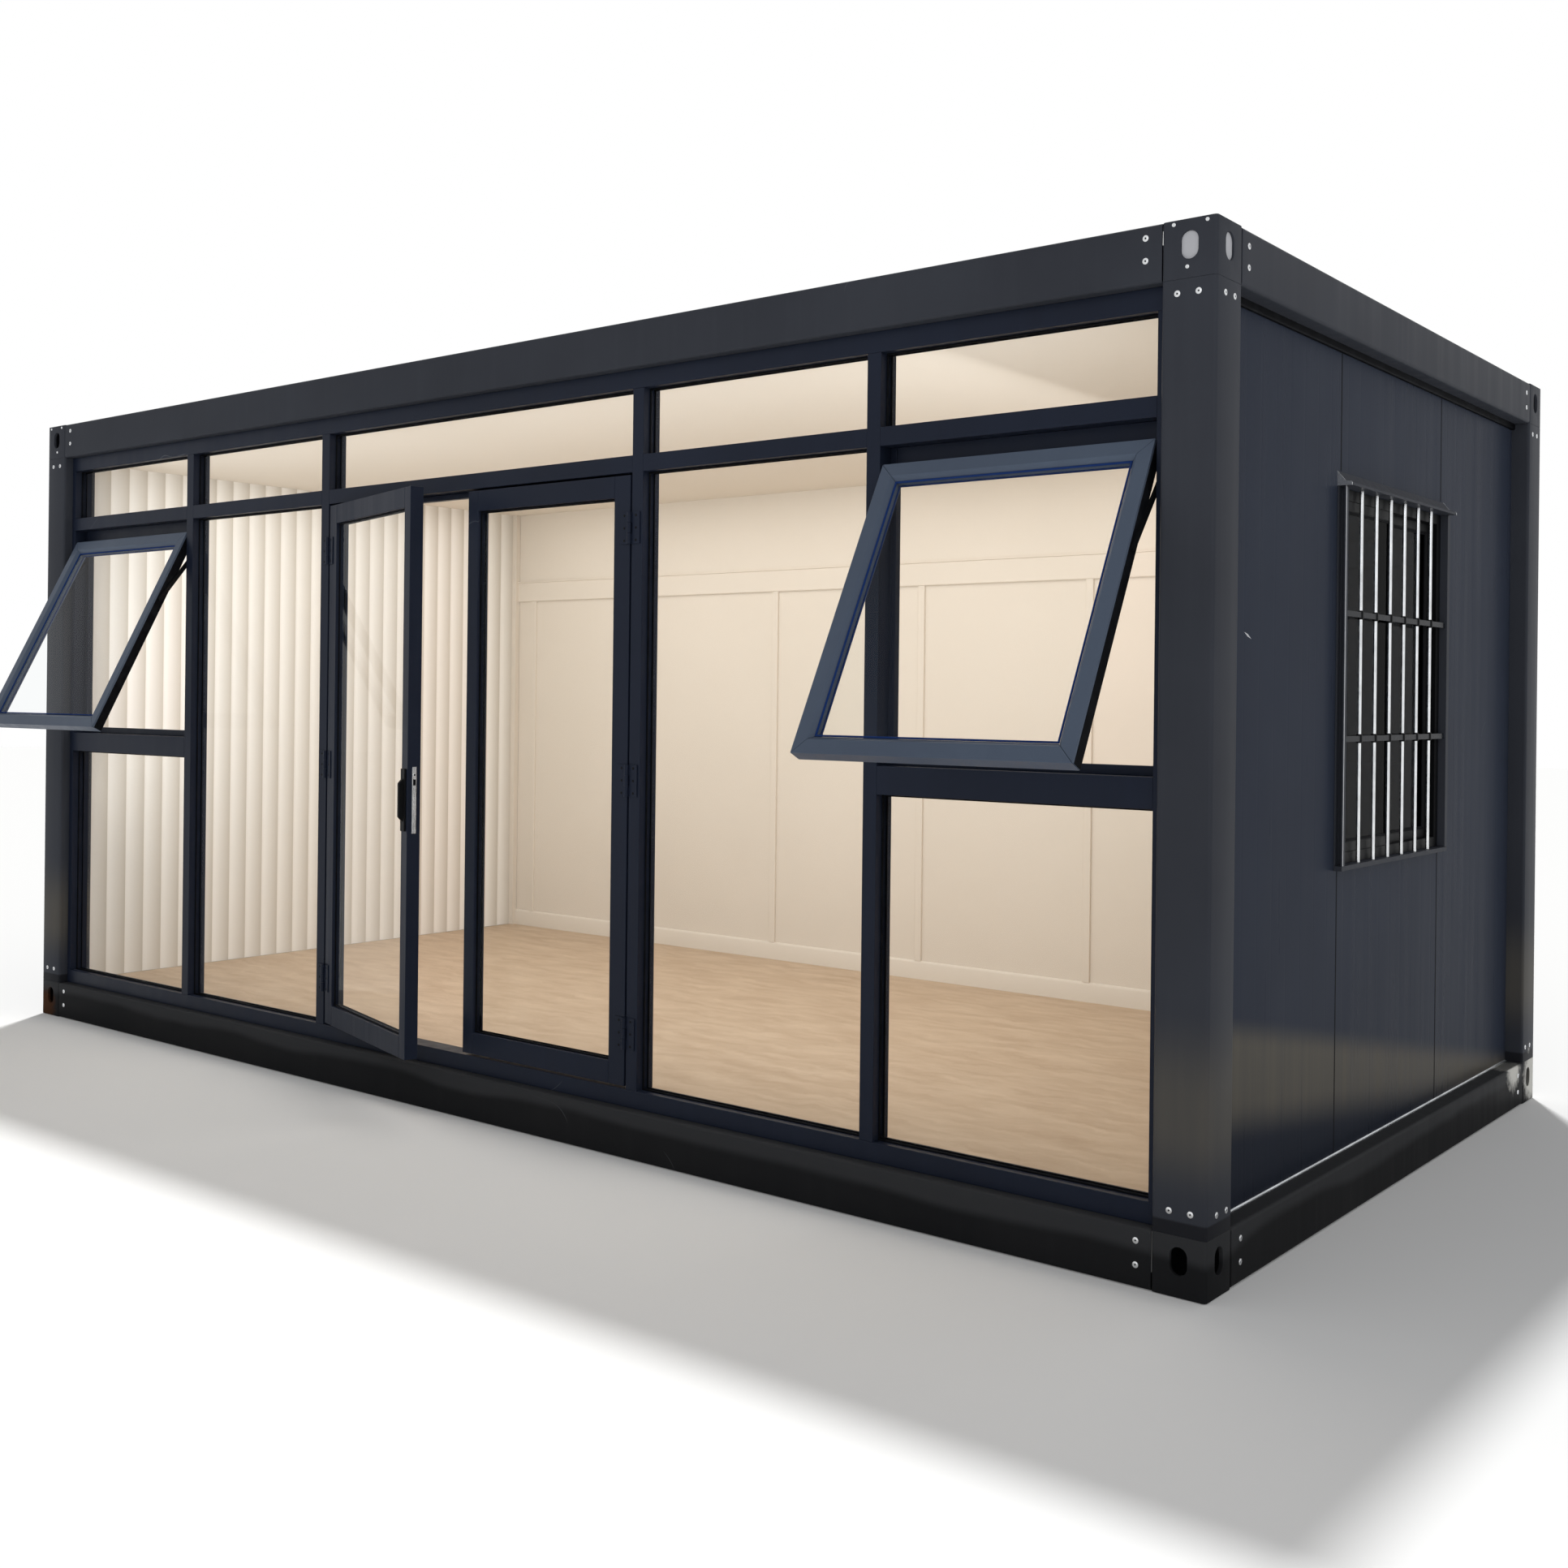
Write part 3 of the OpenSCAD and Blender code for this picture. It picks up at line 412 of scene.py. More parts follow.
def seal_rubber(name, shade, bloom_width=0.05, grain_size=0.002):
    """Extruded EPDM: matt black-blue with a faint bloom in patches."""
    made, tree, shader, place = new_finish(name)
    bloom = add(tree, "TexNoise", {"Vector": place, "Scale": 1 / bloom_width, "Detail": 4.0})
    level = add(tree, "MapRange", {"Value": bloom.outputs[0], 1: 0.45, 2: 0.8, 3: 0.0, 4: 0.15})
    tone = add(tree, "Mix", {0: level.outputs[0], 6: linear(shade), 7: linear("#3A3D42")}, data_type="RGBA")
    grain = add(tree, "TexNoise", {"Vector": place, "Scale": 1 / grain_size, "Detail": 2.0})
    bump = add(tree, "Bump", {"Height": grain.outputs[0], "Strength": 0.1, "Distance": 0.0005})
    tree.links.new(tone.outputs[2], shader.inputs["Base Color"])
    tree.links.new(bump.outputs[0], shader.inputs["Normal"])
    shader.inputs["Roughness"].default_value = 0.6
    shader.inputs["Specular IOR Level"].default_value = 0.04
    return made


# Finishes

# Semi-gloss charcoal paint on folded steel: a soft sheen, faint clouds and streaks, and a low band that is
# partly dried splash and partly painted reflection
steel_paint = powder_coat(
    "powder_coated_steel", ("#35373D", "#41444B", "#51545B"), 0.36, 0.02, wave=0.002, splash_and_reflection=0.45,
    foot=(0.197, "#26272B"), worn=(((2.975, 1.62, 0.2), 0.02),),
)
# The same paint on the base, darker, with a painted highlight along its top, rusty on one block and worn to
# bare metal on another
base_paint = powder_coat(
    "powder_coated_base_steel", ("#1F2022", "#282829", "#363738"), 0.42, 0.01, wave=0.002,
    painted_sheen=(0.1, "#3D3E40"), rust=(((-2.93, -1.31, 0.05), 0.09),),
    worn=(((2.975, 1.66, 0.1), 0.12), ((2.96, 1.42, 0.16), 0.1)),
)
# Coil-coated sheet of a sandwich panel: smoother than powder, so it mirrors light in long soft bands
sheet_tones = ("#2C313D", "#343A47", "#3F4554")
sheet_rough, sheet_level, sheet_peel, sheet_wave = 0.3, 0.012, 0.03, 0.004
# On the near end wall the band leans towards the back: partly dried splash, partly painted reflection of the
# lit floor, over painted shade
wall_paint = powder_coat(
    "coil_coated_sheet", sheet_tones, sheet_rough, sheet_level, sheet_peel, sheet_wave, splash_and_reflection=0.7,
    splash_and_reflection_heights=((0.21, 0.34, 0.12), (0.415, 0.505, 0.19)), painted_shade_below=0.4,
    nick=((wall_high.x, -0.943, 1.731), math.radians(-20.2), 0.026, 0.0034),
)
# The same sheet on the back and the far end, with a fainter band of splash and painted reflection
plain_wall_paint = powder_coat(
    "plain_coil_coated_sheet", sheet_tones, sheet_rough, sheet_level, sheet_peel, sheet_wave, splash_and_reflection=0.15,
)
# Blue-black paint on aluminium window bars and hinges
bar_paint = powder_coat("powder_coated_window_bars", ("#171C28", "#1F2636", "#2B3346"), 0.38, 0.1)
# Slate paint on the awning sashes, a little bluer and lighter than the bars
sash_paint = powder_coat("powder_coated_sash_bars", ("#4A5363", "#576374", "#657182"), 0.36, 0.08)
# Near-black matt paint on the handle, the stays, the end window's frame and the small fittings
black_paint = powder_coat("black_painted_fittings", ("#0A0B0C", "#111214", "#1C1D1F"), 0.45, 0.08)
# Drawn and zinc-plated bars and bolts: bright, slightly streaky along their length
drawn_grain = (0.002, 0.002, 0.05)
bright_zinc = bare_metal("bright_zinc_plate", "#DADCDE", 0.24, drawn_grain)
# Mill aluminium trim, streaky along the wall
mill_aluminium = bare_metal("mill_aluminium", "#E2E4E6", 0.3, (0.002, 0.06, 0.002))
# Zinc-coated roof sheet: dull, grey and mottled with spangle
roof_zinc = bare_metal("zinc_coated_roof", "#A7ABAF", 0.45, (0.02, 0.02, 0.02))
# Warm emulsion on the back and right linings
beige_wall = painted_board("beige_emulsion", ("#DCD2C4", "#E4DACD"), 0.9, 0.7, 0.12)
# Cream emulsion on the ceiling
ceiling_paint = painted_board("ceiling_emulsion", ("#E6DDD0", "#EBE3D8"), 0.7, 0.8, 0.15)
# Chipboard of the floor deck
deck_board = painted_board("chipboard_deck", ("#857863", "#9B8D76"), 0.02, 0.85, 0.5)
# Pale moulded caps in the near top block
cap_plastic = painted_board("moulded_cap", ("#B4B5BA", "#BEBFC3"), 0.05, 0.5, 0.05)
# Slats and floor of the room
white_slats = slat_finish_with_painted_shade()
vinyl_floor = floor_sheet()
# Clear sheet in the front, which shows the room plainly
glass = pane_glass("clear_float_glass", "#FCFDFD", 1.14)
# Dark grey sheet in the end window, with little mirror so that it stays dark from outside
grey_glass = pane_glass("grey_float_glass", "#6A7078", 1.045)
# Seals: black round the fixed glass and the leaves, blue-black in the open sashes, where the blue is a
# painted reflection along the glass edges
black_seal = seal_rubber("black_epdm_seal", "#0C0D10")
blue_reflection_seal = seal_rubber("blue_painted_reflection_seal", "#1C3468")


def grille_finish(flat_heights, half):
    """Zinc plate on the round bars, and black paint within half a flat bar's width of its middle height."""
    made = bare_metal("zinc_plated_grille", "#E6E8EA", 0.22, drawn_grain)
    tree = made.node_tree
    shader = tree.nodes["Principled BSDF"]
    place = add(tree, "TexCoord").outputs["Object"]
    height = add(tree, "SeparateXYZ", {0: place}).outputs[2]
    painted = 0.0
    for level in flat_heights:
        near = add(tree, "Math", {0: height, 1: float(level), 2: half}, operation="COMPARE")
        painted = add(tree, "Math", {0: near.outputs[0], 1: painted}, operation="MAXIMUM").outputs[0]
    zinc = shader.inputs["Base Color"].links[0].from_socket
    colour = add(tree, "Mix", {0: painted, 6: zinc, 7: linear("#1A1D22")}, data_type="RGBA")
    metal = add(tree, "Math", {0: 1.0, 1: painted}, operation="SUBTRACT")
    tree.links.new(colour.outputs[2], shader.inputs["Base Color"])
    tree.links.new(metal.outputs[0], shader.inputs["Metallic"])
    shader.inputs["Specular IOR Level"].default_value = 0.05
    return made


# The flat bars cross the grille at thirds of its height
flat_z = grille_low.z + (grille_high.z - grille_low.z) * np.array([1, 2]) / 3
flat_half = 0.0095
grille_zinc = grille_finish(flat_z, flat_half)


# Mesh tools

def put_piece(name, points, faces, body, finish):
    """Puts arrays of points and faces into a mesh, closes seams and poles by merging equal points, turns
    the faces outwards, and lets the piece ride on a body."""
    data = bpy.data.meshes.new(name)
    data.from_pydata(np.asarray(points).reshape(-1, 3).tolist(), [], [list(map(int, face)) for face in faces])
    tidy = bmesh.new()
    tidy.from_mesh(data)
    bmesh.ops.remove_doubles(tidy, verts=tidy.verts, dist=1e-6)
    bmesh.ops.recalc_face_normals(tidy, faces=tidy.faces)
    tidy.to_mesh(data)
    tidy.free()
    data.polygons.foreach_set("use_smooth", np.ones(len(data.polygons), bool))
    data.set_sharp_from_angle(angle=math.radians(30))
    data.materials.append(finish)
    piece = bpy.data.objects.new(name, data)
    scene.collection.objects.link(piece)
    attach(piece, body)
    return piece


def grid_quads(rows, columns, count=1, close_rows=True, close_columns=True):
    """Quads between neighbours of a rows by columns grid of points, for a number of like grids."""
    row = np.arange(rows if close_rows else rows - 1)[:, None]
    column = np.arange(columns if close_columns else columns - 1)[None, :]
    next_row = (row + 1) % rows * columns
    next_column = (column + 1) % columns
    quads = np.stack([
        row * columns + column, row * columns + next_column, next_row + next_column, next_row + column,
    ], -1).reshape(-1, 4)
    return (quads[None] + np.arange(count)[:, None, None] * rows * columns).reshape(-1, 4)


def pane_boxes(node, turn):
    """Lowest and highest corners of each pane of a glass node, in axes turned with the pane. A pane is a box
    of 12 triangles, so 36 corners follow each other."""
    data = nodes[node].data
    index = np.empty(len(data.loops), np.int32)
    data.loops.foreach_get("vertex_index", index)
    points = np.empty(len(data.vertices) * 3, np.float32)
    data.vertices.foreach_get("co", points)
    corners = (points.reshape(-1, 3)[index] @ turn).reshape(-1, 36, 3)
    return corners.min(1), corners.max(1)


def seal_rings(name, node, body, finish, turn=level_turn, thin=1):
    """A seal profile carried round the edge of every pane of a node, on both faces. The first number of a
    profile point goes in from the edge along the diagonal of the corner, the second out from the glass."""
    profile = np.array([(0, 0), (0, 2.6), (1.2, 3.6), (3.4, 3.6), (5.4, 2.4), (6, 0.8), (6, 0)]) * mm
    low, high = pane_boxes(node, turn)
    across, upward = [axis for axis in range(3) if axis != thin]
    side = np.array([0, 1, 1, 0])
    rise = np.array([0, 0, 1, 1])
    ends = np.stack([low, high])
    points = np.empty((len(low), 2, 4, len(profile), 3))
    for axis, corner in ((across, side), (upward, rise)):
        inward = 1 - 2 * corner
        edge = ends[corner, :, axis].T
        points[..., axis] = edge[:, None, :, None] + inward[None, None, :, None] * profile[:, 0]
    points[:, 0, :, :, thin] = low[:, None, None, thin] - profile[:, 1]
    points[:, 1, :, :, thin] = high[:, None, None, thin] + profile[:, 1]
    faces = grid_quads(4, len(profile), 2 * len(low))
    return put_piece(name, points.reshape(-1, 3) @ turn.T, faces, body, finish)


def straight_bars(name, starts, ends, outline, across, upward, body, slot, finish):
    """An outline carried along straight lines from starts to ends, with flat ends. Its two numbers run
    along the given across and upward directions, in millimetres."""
    outline = np.asarray(outline) * mm
    starts = np.atleast_2d(np.asarray(starts, float))
    ends = np.atleast_2d(np.asarray(ends, float))
    section = outline[:, :1] * np.asarray(across, float) + outline[:, 1:] * np.asarray(upward, float)
    points = np.stack([starts, ends], 1)[:, :, None, :] + section
    size = len(outline)
    faces = grid_quads(2, size, len(starts), close_rows=False).tolist()
    rings = np.arange(2 * len(starts) * size).reshape(-1, size)
    return put_piece(name, points, faces + rings.tolist(), body, finish)


def turned_heads(name, centres, axes, outline, body, finish, sides=16):
    """An outline of radius and height in millimetres, turned round an axis at each centre, from pole to
    pole."""
    outline = np.asarray(outline) * mm
    centres = np.atleast_2d(np.asarray(centres, float))
    axes = np.broadcast_to(np.asarray(axes, float), centres.shape)
    angle = np.arange(sides) / sides * 2 * math.pi
    helper = np.where(np.abs(axes[:, 2:]) > 0.9, [[1.0, 0, 0]], [[0, 0, 1.0]])
    first = np.cross(helper, axes)
    first /= np.linalg.norm(first, axis=1, keepdims=True)
    second = np.cross(axes, first)
    spoke = first[:, None] * np.cos(angle)[None, :, None] + second[:, None] * np.sin(angle)[None, :, None]
    points = (
        centres[:, None, None] + spoke[:, :, None] * outline[None, None, :, :1]
        + axes[:, None, None] * outline[None, None, :, 1:]
    )
    faces = grid_quads(sides, len(outline), len(centres), close_columns=False)
    return put_piece(name, points, faces, body, finish)


# Angles in degrees: faces that are flat together, and edges that are rounded
flat_angle = 0.5
edge_angle = 35
# How far behind a wall's face its grooves reach, in metres, and how much of that shows
groove_reach = 0.0006
groove_shown = 0.2


def softened(node, width, finish, sharp=edge_angle, groove=None):
    """A copy of a node with its triangles joined into flat faces and its sharp edges rounded, which stands
    for the node. groove gives an axis and the place of a grooved outer face along it: points of the grooves
    are brought most of the way out to that face, because the painted grooves look shallower."""
    source = nodes[node]
    data = source.data.copy()
    data.name = node + "_softened"
    tidy = bmesh.new()
    tidy.from_mesh(data)
    bmesh.ops.remove_doubles(tidy, verts=tidy.verts, dist=1e-5)
    bmesh.ops.dissolve_limit(tidy, angle_limit=math.radians(flat_angle), verts=tidy.verts, edges=tidy.edges)
    tidy.to_mesh(data)
    tidy.free()
    if groove:
        axis, face = groove
        points = np.empty(len(data.vertices) * 3, np.float32)
        data.vertices.foreach_get("co", points)
        points = points.reshape(-1, 3)
        behind = face - points[:, axis]
        shallow = np.abs(behind) < groove_reach
        points[shallow, axis] = face - groove_shown * behind[shallow]
        data.vertices.foreach_set("co", points.ravel())
    if "custom_normal" in data.attributes:
        data.attributes.remove(data.attributes["custom_normal"])
    data.polygons.foreach_set("use_smooth", np.ones(len(data.polygons), bool))
    data.set_sharp_from_angle(angle=math.radians(sharp))
    data.materials.clear()
    data.materials.append(finish)
    piece = bpy.data.objects.new(node + "_softened", data)
    scene.collection.objects.link(piece)
    edge = piece.modifiers.new("rounded_edges", "BEVEL")
    edge.width = width * mm
    edge.segments = 2
    edge.limit_method = "ANGLE"
    edge.angle_limit = math.radians(edge_angle)
    edge.harden_normals = True
    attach(piece, source["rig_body"])
    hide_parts(node)
    return piece


# Finishes of the solids that stay as they are

kept = {
    "floor_finish": vinyl_floor, "floor_deck": deck_board, "floor_joists": base_paint,
    "roof_purlins": steel_paint, "roof_sheet": roof_zinc, "ceiling": ceiling_paint,
    "back_lining": beige_wall, "right_lining": beige_wall, "left_lining": white_slats,
    "top_light_glass": glass, "fixed_glass": glass, "awning_glass": glass, "end_window_glass": grey_glass,
    "left_door_glass": glass, "right_door_glass": glass, "end_window_grille": grille_zinc,
    "awning_stays": black_paint, "left_door_hinges": bar_paint, "right_door_hinges": bar_paint,
    "frame_hinges": bar_paint,
}
for name, finish in kept.items():
    data = nodes[name].data
    data.materials.clear()
    data.materials.append(finish)

# Solids with rounded edges, with the width of each edge in millimetres

wall_faces = {
    "back_wall": (1, back_wall_high.y), "left_end_wall": (0, left_wall_low.x),
    "right_end_wall": (0, wall_high.x),
}
rounded = {
    "steel_frame": (steel_paint, {
        "top_corner_blocks": 2.5, "corner_posts": 1.5, "top_beams": 2, "end_window_surround": 1,
    }),
    "steel_base": (base_paint, {"bottom_corner_blocks": 2.5, "bottom_beams": 2}),
    "wall_panel": (plain_wall_paint, {"back_wall": 1.5, "left_end_wall": 1.5, "right_end_wall": 1.5}),
    "window_frame": (bar_paint, {
        "front_sill": 2, "front_head": 2, "front_jambs": 1.5, "front_mullions": 1.5, "front_transoms": 1.5,
        "door_stops": 1.5, "awning_stops": 1.5,
        "left_door_stiles": 2, "left_door_rails": 2, "right_door_stiles": 2, "right_door_rails": 2,
    }),
    "sash_frame": (sash_paint, {"awning_sashes": 1.5}),
    "black_metal": (black_paint, {
        "left_door_handle": 1.2, "end_window_frame": 1.2, "end_window_sashes": 0.8,
    }),
    "bright_metal": (bright_zinc, {"left_door_lock": 0.8}),
}
for slot, (slot_finish, widths) in rounded.items():
    for name, width in widths.items():
        finish = wall_paint if name == "right_end_wall" else slot_finish
        sharp = flat_angle if name in wall_faces else edge_angle
        softened(name, width, finish, sharp, wall_faces.get(name))

# Seals round the glass

seal_rings("top_light_seals", "top_light_glass", "house", black_seal)
seal_rings("fixed_light_seals", "fixed_glass", "house", black_seal)
# The blue of the sash seals is a painted reflection along the glass edges
seal_rings("awning_seals", "awning_glass", "house", blue_reflection_seal, awning_turn)
seal_rings("end_window_seals", "end_window_glass", "house", black_seal, thin=0)
seal_rings("left_door_seals", "left_door_glass", "left_door", black_seal, ajar_turn)
seal_rings("right_door_seals", "right_door_glass", "right_door", black_seal)

# Black strips on the two sides of each open sash, dark sheets that stand in for the shade there, painted
# shade: width of a bar, its face before the glass, and a gap at the ends

sash_bar = 0.058
sash_set = 0.014
strip_gap = 0.002
side_shade_strip = [(0, 8), (1.5, 9), (1.5, 43), (0, 44)]
low, high = pane_boxes("awning_glass", awning_turn)
for name, edge, side in (("left", low[:, 0] - sash_bar, -1), ("right", high[:, 0] + sash_bar, 1)):
    strip_foot = np.stack([edge, low[:, 1] - sash_set, low[:, 2] - sash_bar + strip_gap], 1)
    strip_head = np.stack([edge, low[:, 1] - sash_set, high[:, 2] + sash_bar - strip_gap], 1)
    straight_bars(
        "awning_" + name + "_side_shade_strips", strip_foot @ awning_turn.T, strip_head @ awning_turn.T, side_shade_strip,
        (side, 0, 0), awning_turn @ (0, 1, 0), "house", "sash_frame", black_seal,
    )


# Latch hook and cylinder in the lock plate of the left leaf

def on_left_leaf(points):
    """Points given from the hinge axis with the leaf shut, turned to where the leaf stands ajar."""
    return np.asarray(points) @ ajar_turn.T + left_axis


lock_top = np.array((0.835, 0.033, 1.282))
hook = lock_top - (0, 0, 0.056)
barrel = lock_top - (0, 0, 0.029)
edge_out = ajar_turn @ (1.0, 0, 0)
straight_bars(
    "lock_hook_pocket", on_left_leaf(hook - (0.002, 0, 0)), on_left_leaf(hook + (0.0006, 0, 0)),
    [(-5, -11), (5, -11), (5, 11), (-5, 11)], ajar_turn @ (0, 1, 0), (0, 0, 1),
    "left_door", "black_metal", black_paint,
)
turned_heads(
    "lock_cylinder", on_left_leaf(barrel), edge_out,
    [(0, 1.0), (4.0, 1.0), (4.2, 2.0), (6.0, 1.8), (6.4, 0), (0, -1.0)],
    "left_door", mill_aluminium,
)
turned_heads(
    "lock_keyway", on_left_leaf(barrel + (0.0008, 0, 0)), edge_out,
    [(0, 0.5), (3.6, 0.5), (3.6, -0.2), (0, -0.2)], "left_door", black_paint,
)

# Bolts: distance from the corner and height, on the long faces and on the end faces

bolt = [(0, 0.5), (2.8, 0.5), (3.0, 1.7), (5.2, 1.6), (6.6, 1.2), (7.0, 0.8), (8.6, 0.6), (8.8, 0), (0, -0.5)]
socket = [(0, 0.8), (2.6, 0.8), (2.6, 0.3), (0, 0.3)]
small_bolt = [(0, 1.6), (3.4, 1.5), (5.0, 1.0), (5.6, 0.2), (0, -0.4)]
long_face = np.array([
    (202, 2767), (202, 2707), (199, 124), (199, 60), (110, 2608), (50, 2608), (105, 222), (45, 222),
]) * mm
end_face = np.array([
    (198, 2757), (198, 2700), (213, 120), (213, 57), (53, 2607), (110, 2607), (60, 216), (120, 216),
]) * mm
block_face = np.array([(122, 2789), (28, 2789), (83, 2675)]) * mm


def corner_places(spots, faces):
    """Places of spots at both ends of the long or the end faces, with the direction out of each face."""
    first = spots[:, 0]
    height = spots[:, 1]
    zero = np.zeros(len(spots))
    places, outs = [], []
    for end in (-1, 1):
        for y, out in ((front_y, -1), (back_y, 1)):
            if faces == "long":
                places.append(np.stack([end * (right_x - first), zero + y, height], 1))
                outs.append(np.tile((0, out, 0), (len(spots), 1)))
            else:
                places.append(np.stack([zero + end * right_x, y - out * first, height], 1))
                outs.append(np.tile((end, 0, 0), (len(spots), 1)))
    return np.concatenate(places), np.concatenate(outs)


for name, spots, faces, outline, sides in (
    ("long_face_bolts", long_face, "long", bolt, 18),
    ("end_face_bolts", end_face, "end", bolt, 18),
    ("block_screws", block_face, "long", small_bolt, 14),
):
    centres, outs = corner_places(spots, faces)
    turned_heads(name, centres, outs, outline, "house", bright_zinc, sides)
    if outline is bolt:
        turned_heads(name + "_sockets", centres, outs, socket, "house", black_paint, 6)

# Trim on the outside of the walls, with its heights in millimetres: a bright foot, and under the top beams a
# black strip that stands in for their shadow, painted shade

foot_height = 5
shade_strip_height = 22
foot_trim = [(0, 0), (7, 0), (7, 1.5), (1.5, 2), (1.5, foot_height), (0, foot_height)]
# Painted shade: a black strip under the top beams in place of their shadow
head_shade_strip = [(0, -shade_strip_height), (9, -shade_strip_height), (12, 4 - shade_strip_height), (12, 0), (0, 0)]
wall_lines = {
    "right_wall": ((wall_high.x, wall_low.y), (wall_high.x, wall_high.y), (1, 0, 0)),
    "left_wall": ((left_wall_low.x, left_wall_low.y), (left_wall_low.x, left_wall_high.y), (-1, 0, 0)),
    "back_wall": ((back_wall_low.x, back_wall_high.y), (back_wall_high.x, back_wall_high.y), (0, 1, 0)),
}
for name, (start, end, out) in wall_lines.items():
    straight_bars(
        name + "_foot_trim", (*start, base_top), (*end, base_top), foot_trim, out, (0, 0, 1),
        "house", "bright_metal", mill_aluminium,
    )
    straight_bars(
        name + "_head_shade_strip", (*start, wall_high.z), (*end, wall_high.z), head_shade_strip, out, (0, 0, 1),
        "house", "black_metal", black_seal,
    )

# Dark beads in the joints between wall panels

joint_gap = 0.003
panel_width = 0.96
surround_width = 0.026
surround_gap = 0.004
bead = [(-3.8, 0), (-2.8, 0.6), (2.8, 0.6), (3.8, 0), (1.4, -0.2), (1.4, -3), (-1.4, -3), (-1.4, -0.2)]
wall_foot = base_top + foot_height * mm
wall_head = wall_high.z - shade_strip_height * mm
edge_joint = surround_width + joint_gap / 2
window_joints = np.array([surround_low.y + edge_joint, surround_high.y - edge_joint])
whole_wall = ((wall_foot, wall_head),)
round_window = ((wall_foot, surround_low.z - surround_gap), (surround_high.z + surround_gap, wall_head))


def even_joints(low, high):
    """Middles of the gaps between even panels, as many as keep each within a panel's width."""
    count = math.ceil((high - low) / panel_width)
    return low + np.arange(1, count) * (high - low + joint_gap) / count - joint_gap / 2


def joint_beads(name, across, face, axis, levels, out):
    """Beads up a wall at the given places across it, between each pair of levels."""
    ends = []
    for level in np.transpose(levels):
        point = np.empty((len(level), len(across), 3))
        point[..., 1 - axis] = across
        point[..., axis] = face
        point[..., 2] = level[:, None]
        ends.append(point.reshape(-1, 3))
    side = np.eye(3)[1 - axis]
    straight_bars(name, *ends, bead, side, out, "house", "black_metal", black_seal)


left_joints = even_joints(left_wall_low.y, left_wall_high.y)
back_joints = even_joints(back_wall_low.x, back_wall_high.x)
joint_beads("right_wall_joints", window_joints, wall_high.x, 0, round_window, (1, 0, 0))
joint_beads("left_wall_joints", left_joints, left_wall_low.x, 0, whole_wall, (-1, 0, 0))
joint_beads("back_wall_joints", back_joints, back_wall_high.y, 1, whole_wall, (0, 1, 0))

# Window hood ends, and a bright strip on the near side channel that stands in for the highlight along its
# lip, a painted highlight

hood_reach = 46
hood_rise = 46
plate = 0.003
hood_outline = [(0, 0), (hood_reach, 0), (hood_reach, 8), (hood_reach - 4, 12), (26, 14), (0, hood_rise)]
hood_z = surround_high.z - hood_rise * mm
plate_edges = ((surround_low.y - plate, surround_low.y), (surround_high.y, surround_high.y + plate))
straight_bars(
    "hood_end_plates", [(wall_high.x, near, hood_z) for near, far in plate_edges],
    [(wall_high.x, far, hood_z) for near, far in plate_edges], hood_outline, (1, 0, 0), (0, 0, 1),
    "house", "bright_metal", mill_aluminium,
)
# Painted highlight: a bright strip along the near side channel's lip
channel_out = 0.026
strip_place = (wall_high.x + channel_out, surround_low.y)
straight_bars(
    "window_edge_highlight_strip", (*strip_place, grille_low.z), (*strip_place, grille_high.z),
    [(0, 0), (2.5, 0), (2.5, 3), (0, 3)], (1, 0, 0), (0, 1, 0), "house", "bright_metal", mill_aluminium,
)

# Collars where the round bars pass the flat bars

bar_x = 2.923
bar_count = 6
bar_spacing = 0.132
window_middle = (grille_low.y + grille_high.y) / 2
bar_y = window_middle + (np.arange(bar_count) - (bar_count - 1) / 2) * bar_spacing
collar_places = np.stack(np.broadcast_arrays(bar_x, bar_y[:, None], flat_z[None, :]), -1).reshape(-1, 3)
collar = [(0, -14), (8, -14), (9.4, -12.5), (9.4, 12.5), (8, 14), (0, 14)]
turned_heads("grille_collars", collar_places, (0, 0, 1), collar, "house", black_paint)

# Boards on the room's back wall: a rail and upright battens under it, and a skirting

board_y = lining_low.y
rail_z = 2.17
rail_half = 60
rail = [(0, -rail_half), (10, -rail_half), (13, -56), (13, 50), (18, 54), (18, rail_half), (0, rail_half)]
skirting = [(0, 0), (12, 0), (12, 78), (9, 86), (5, 90), (0, 90)]
first_batten = -2.683
batten_count = 6
batten_spacing = 0.935
batten_foot = 0.25
batten_head = rail_z - rail_half * mm
batten = [(-19, 0), (-19, 8), (-17, 10), (17, 10), (19, 8), (19, 0)]
batten_x = first_batten + batten_spacing * np.arange(batten_count)
batten_ends = [np.stack(np.broadcast_arrays(batten_x, board_y, z), 1) for z in (batten_foot, batten_head)]


def long_board(name, outline, height):
    """An outline carried along the whole back lining at a height."""
    straight_bars(
        name, (lining_low.x, board_y, height), (lining_high.x, board_y, height), outline,
        (0, -1, 0), (0, 0, 1), "house", "beige_lining", beige_wall,
    )


long_board("wall_rail", rail, rail_z)
straight_bars(
    "wall_battens", *batten_ends, batten, (1, 0, 0), (0, -1, 0), "house", "beige_lining", beige_wall,
)
long_board("back_skirting", skirting, base_top)

# Covers over the posts in the room's two back corners

cover_width = 0.031
cover_back = 0.157
corner_cover = [(0, 0), (33, 0), (33, 31), (31, 31), (31, 2), (0, 2)]
for side, name in ((-1, "left_corner_cover"), (1, "right_corner_cover")):
    corner = (side * (sill_high.x + cover_width), back_y - cover_back)
    straight_bars(
        name, (*corner, base_top), (*corner, lining_high.z), corner_cover, (-side, 0, 0), (0, 1, 0),
        "house", "beige_lining", beige_wall,
    )

# Caps in the long holes of the near top block: a ring of two half circles, in millimetres

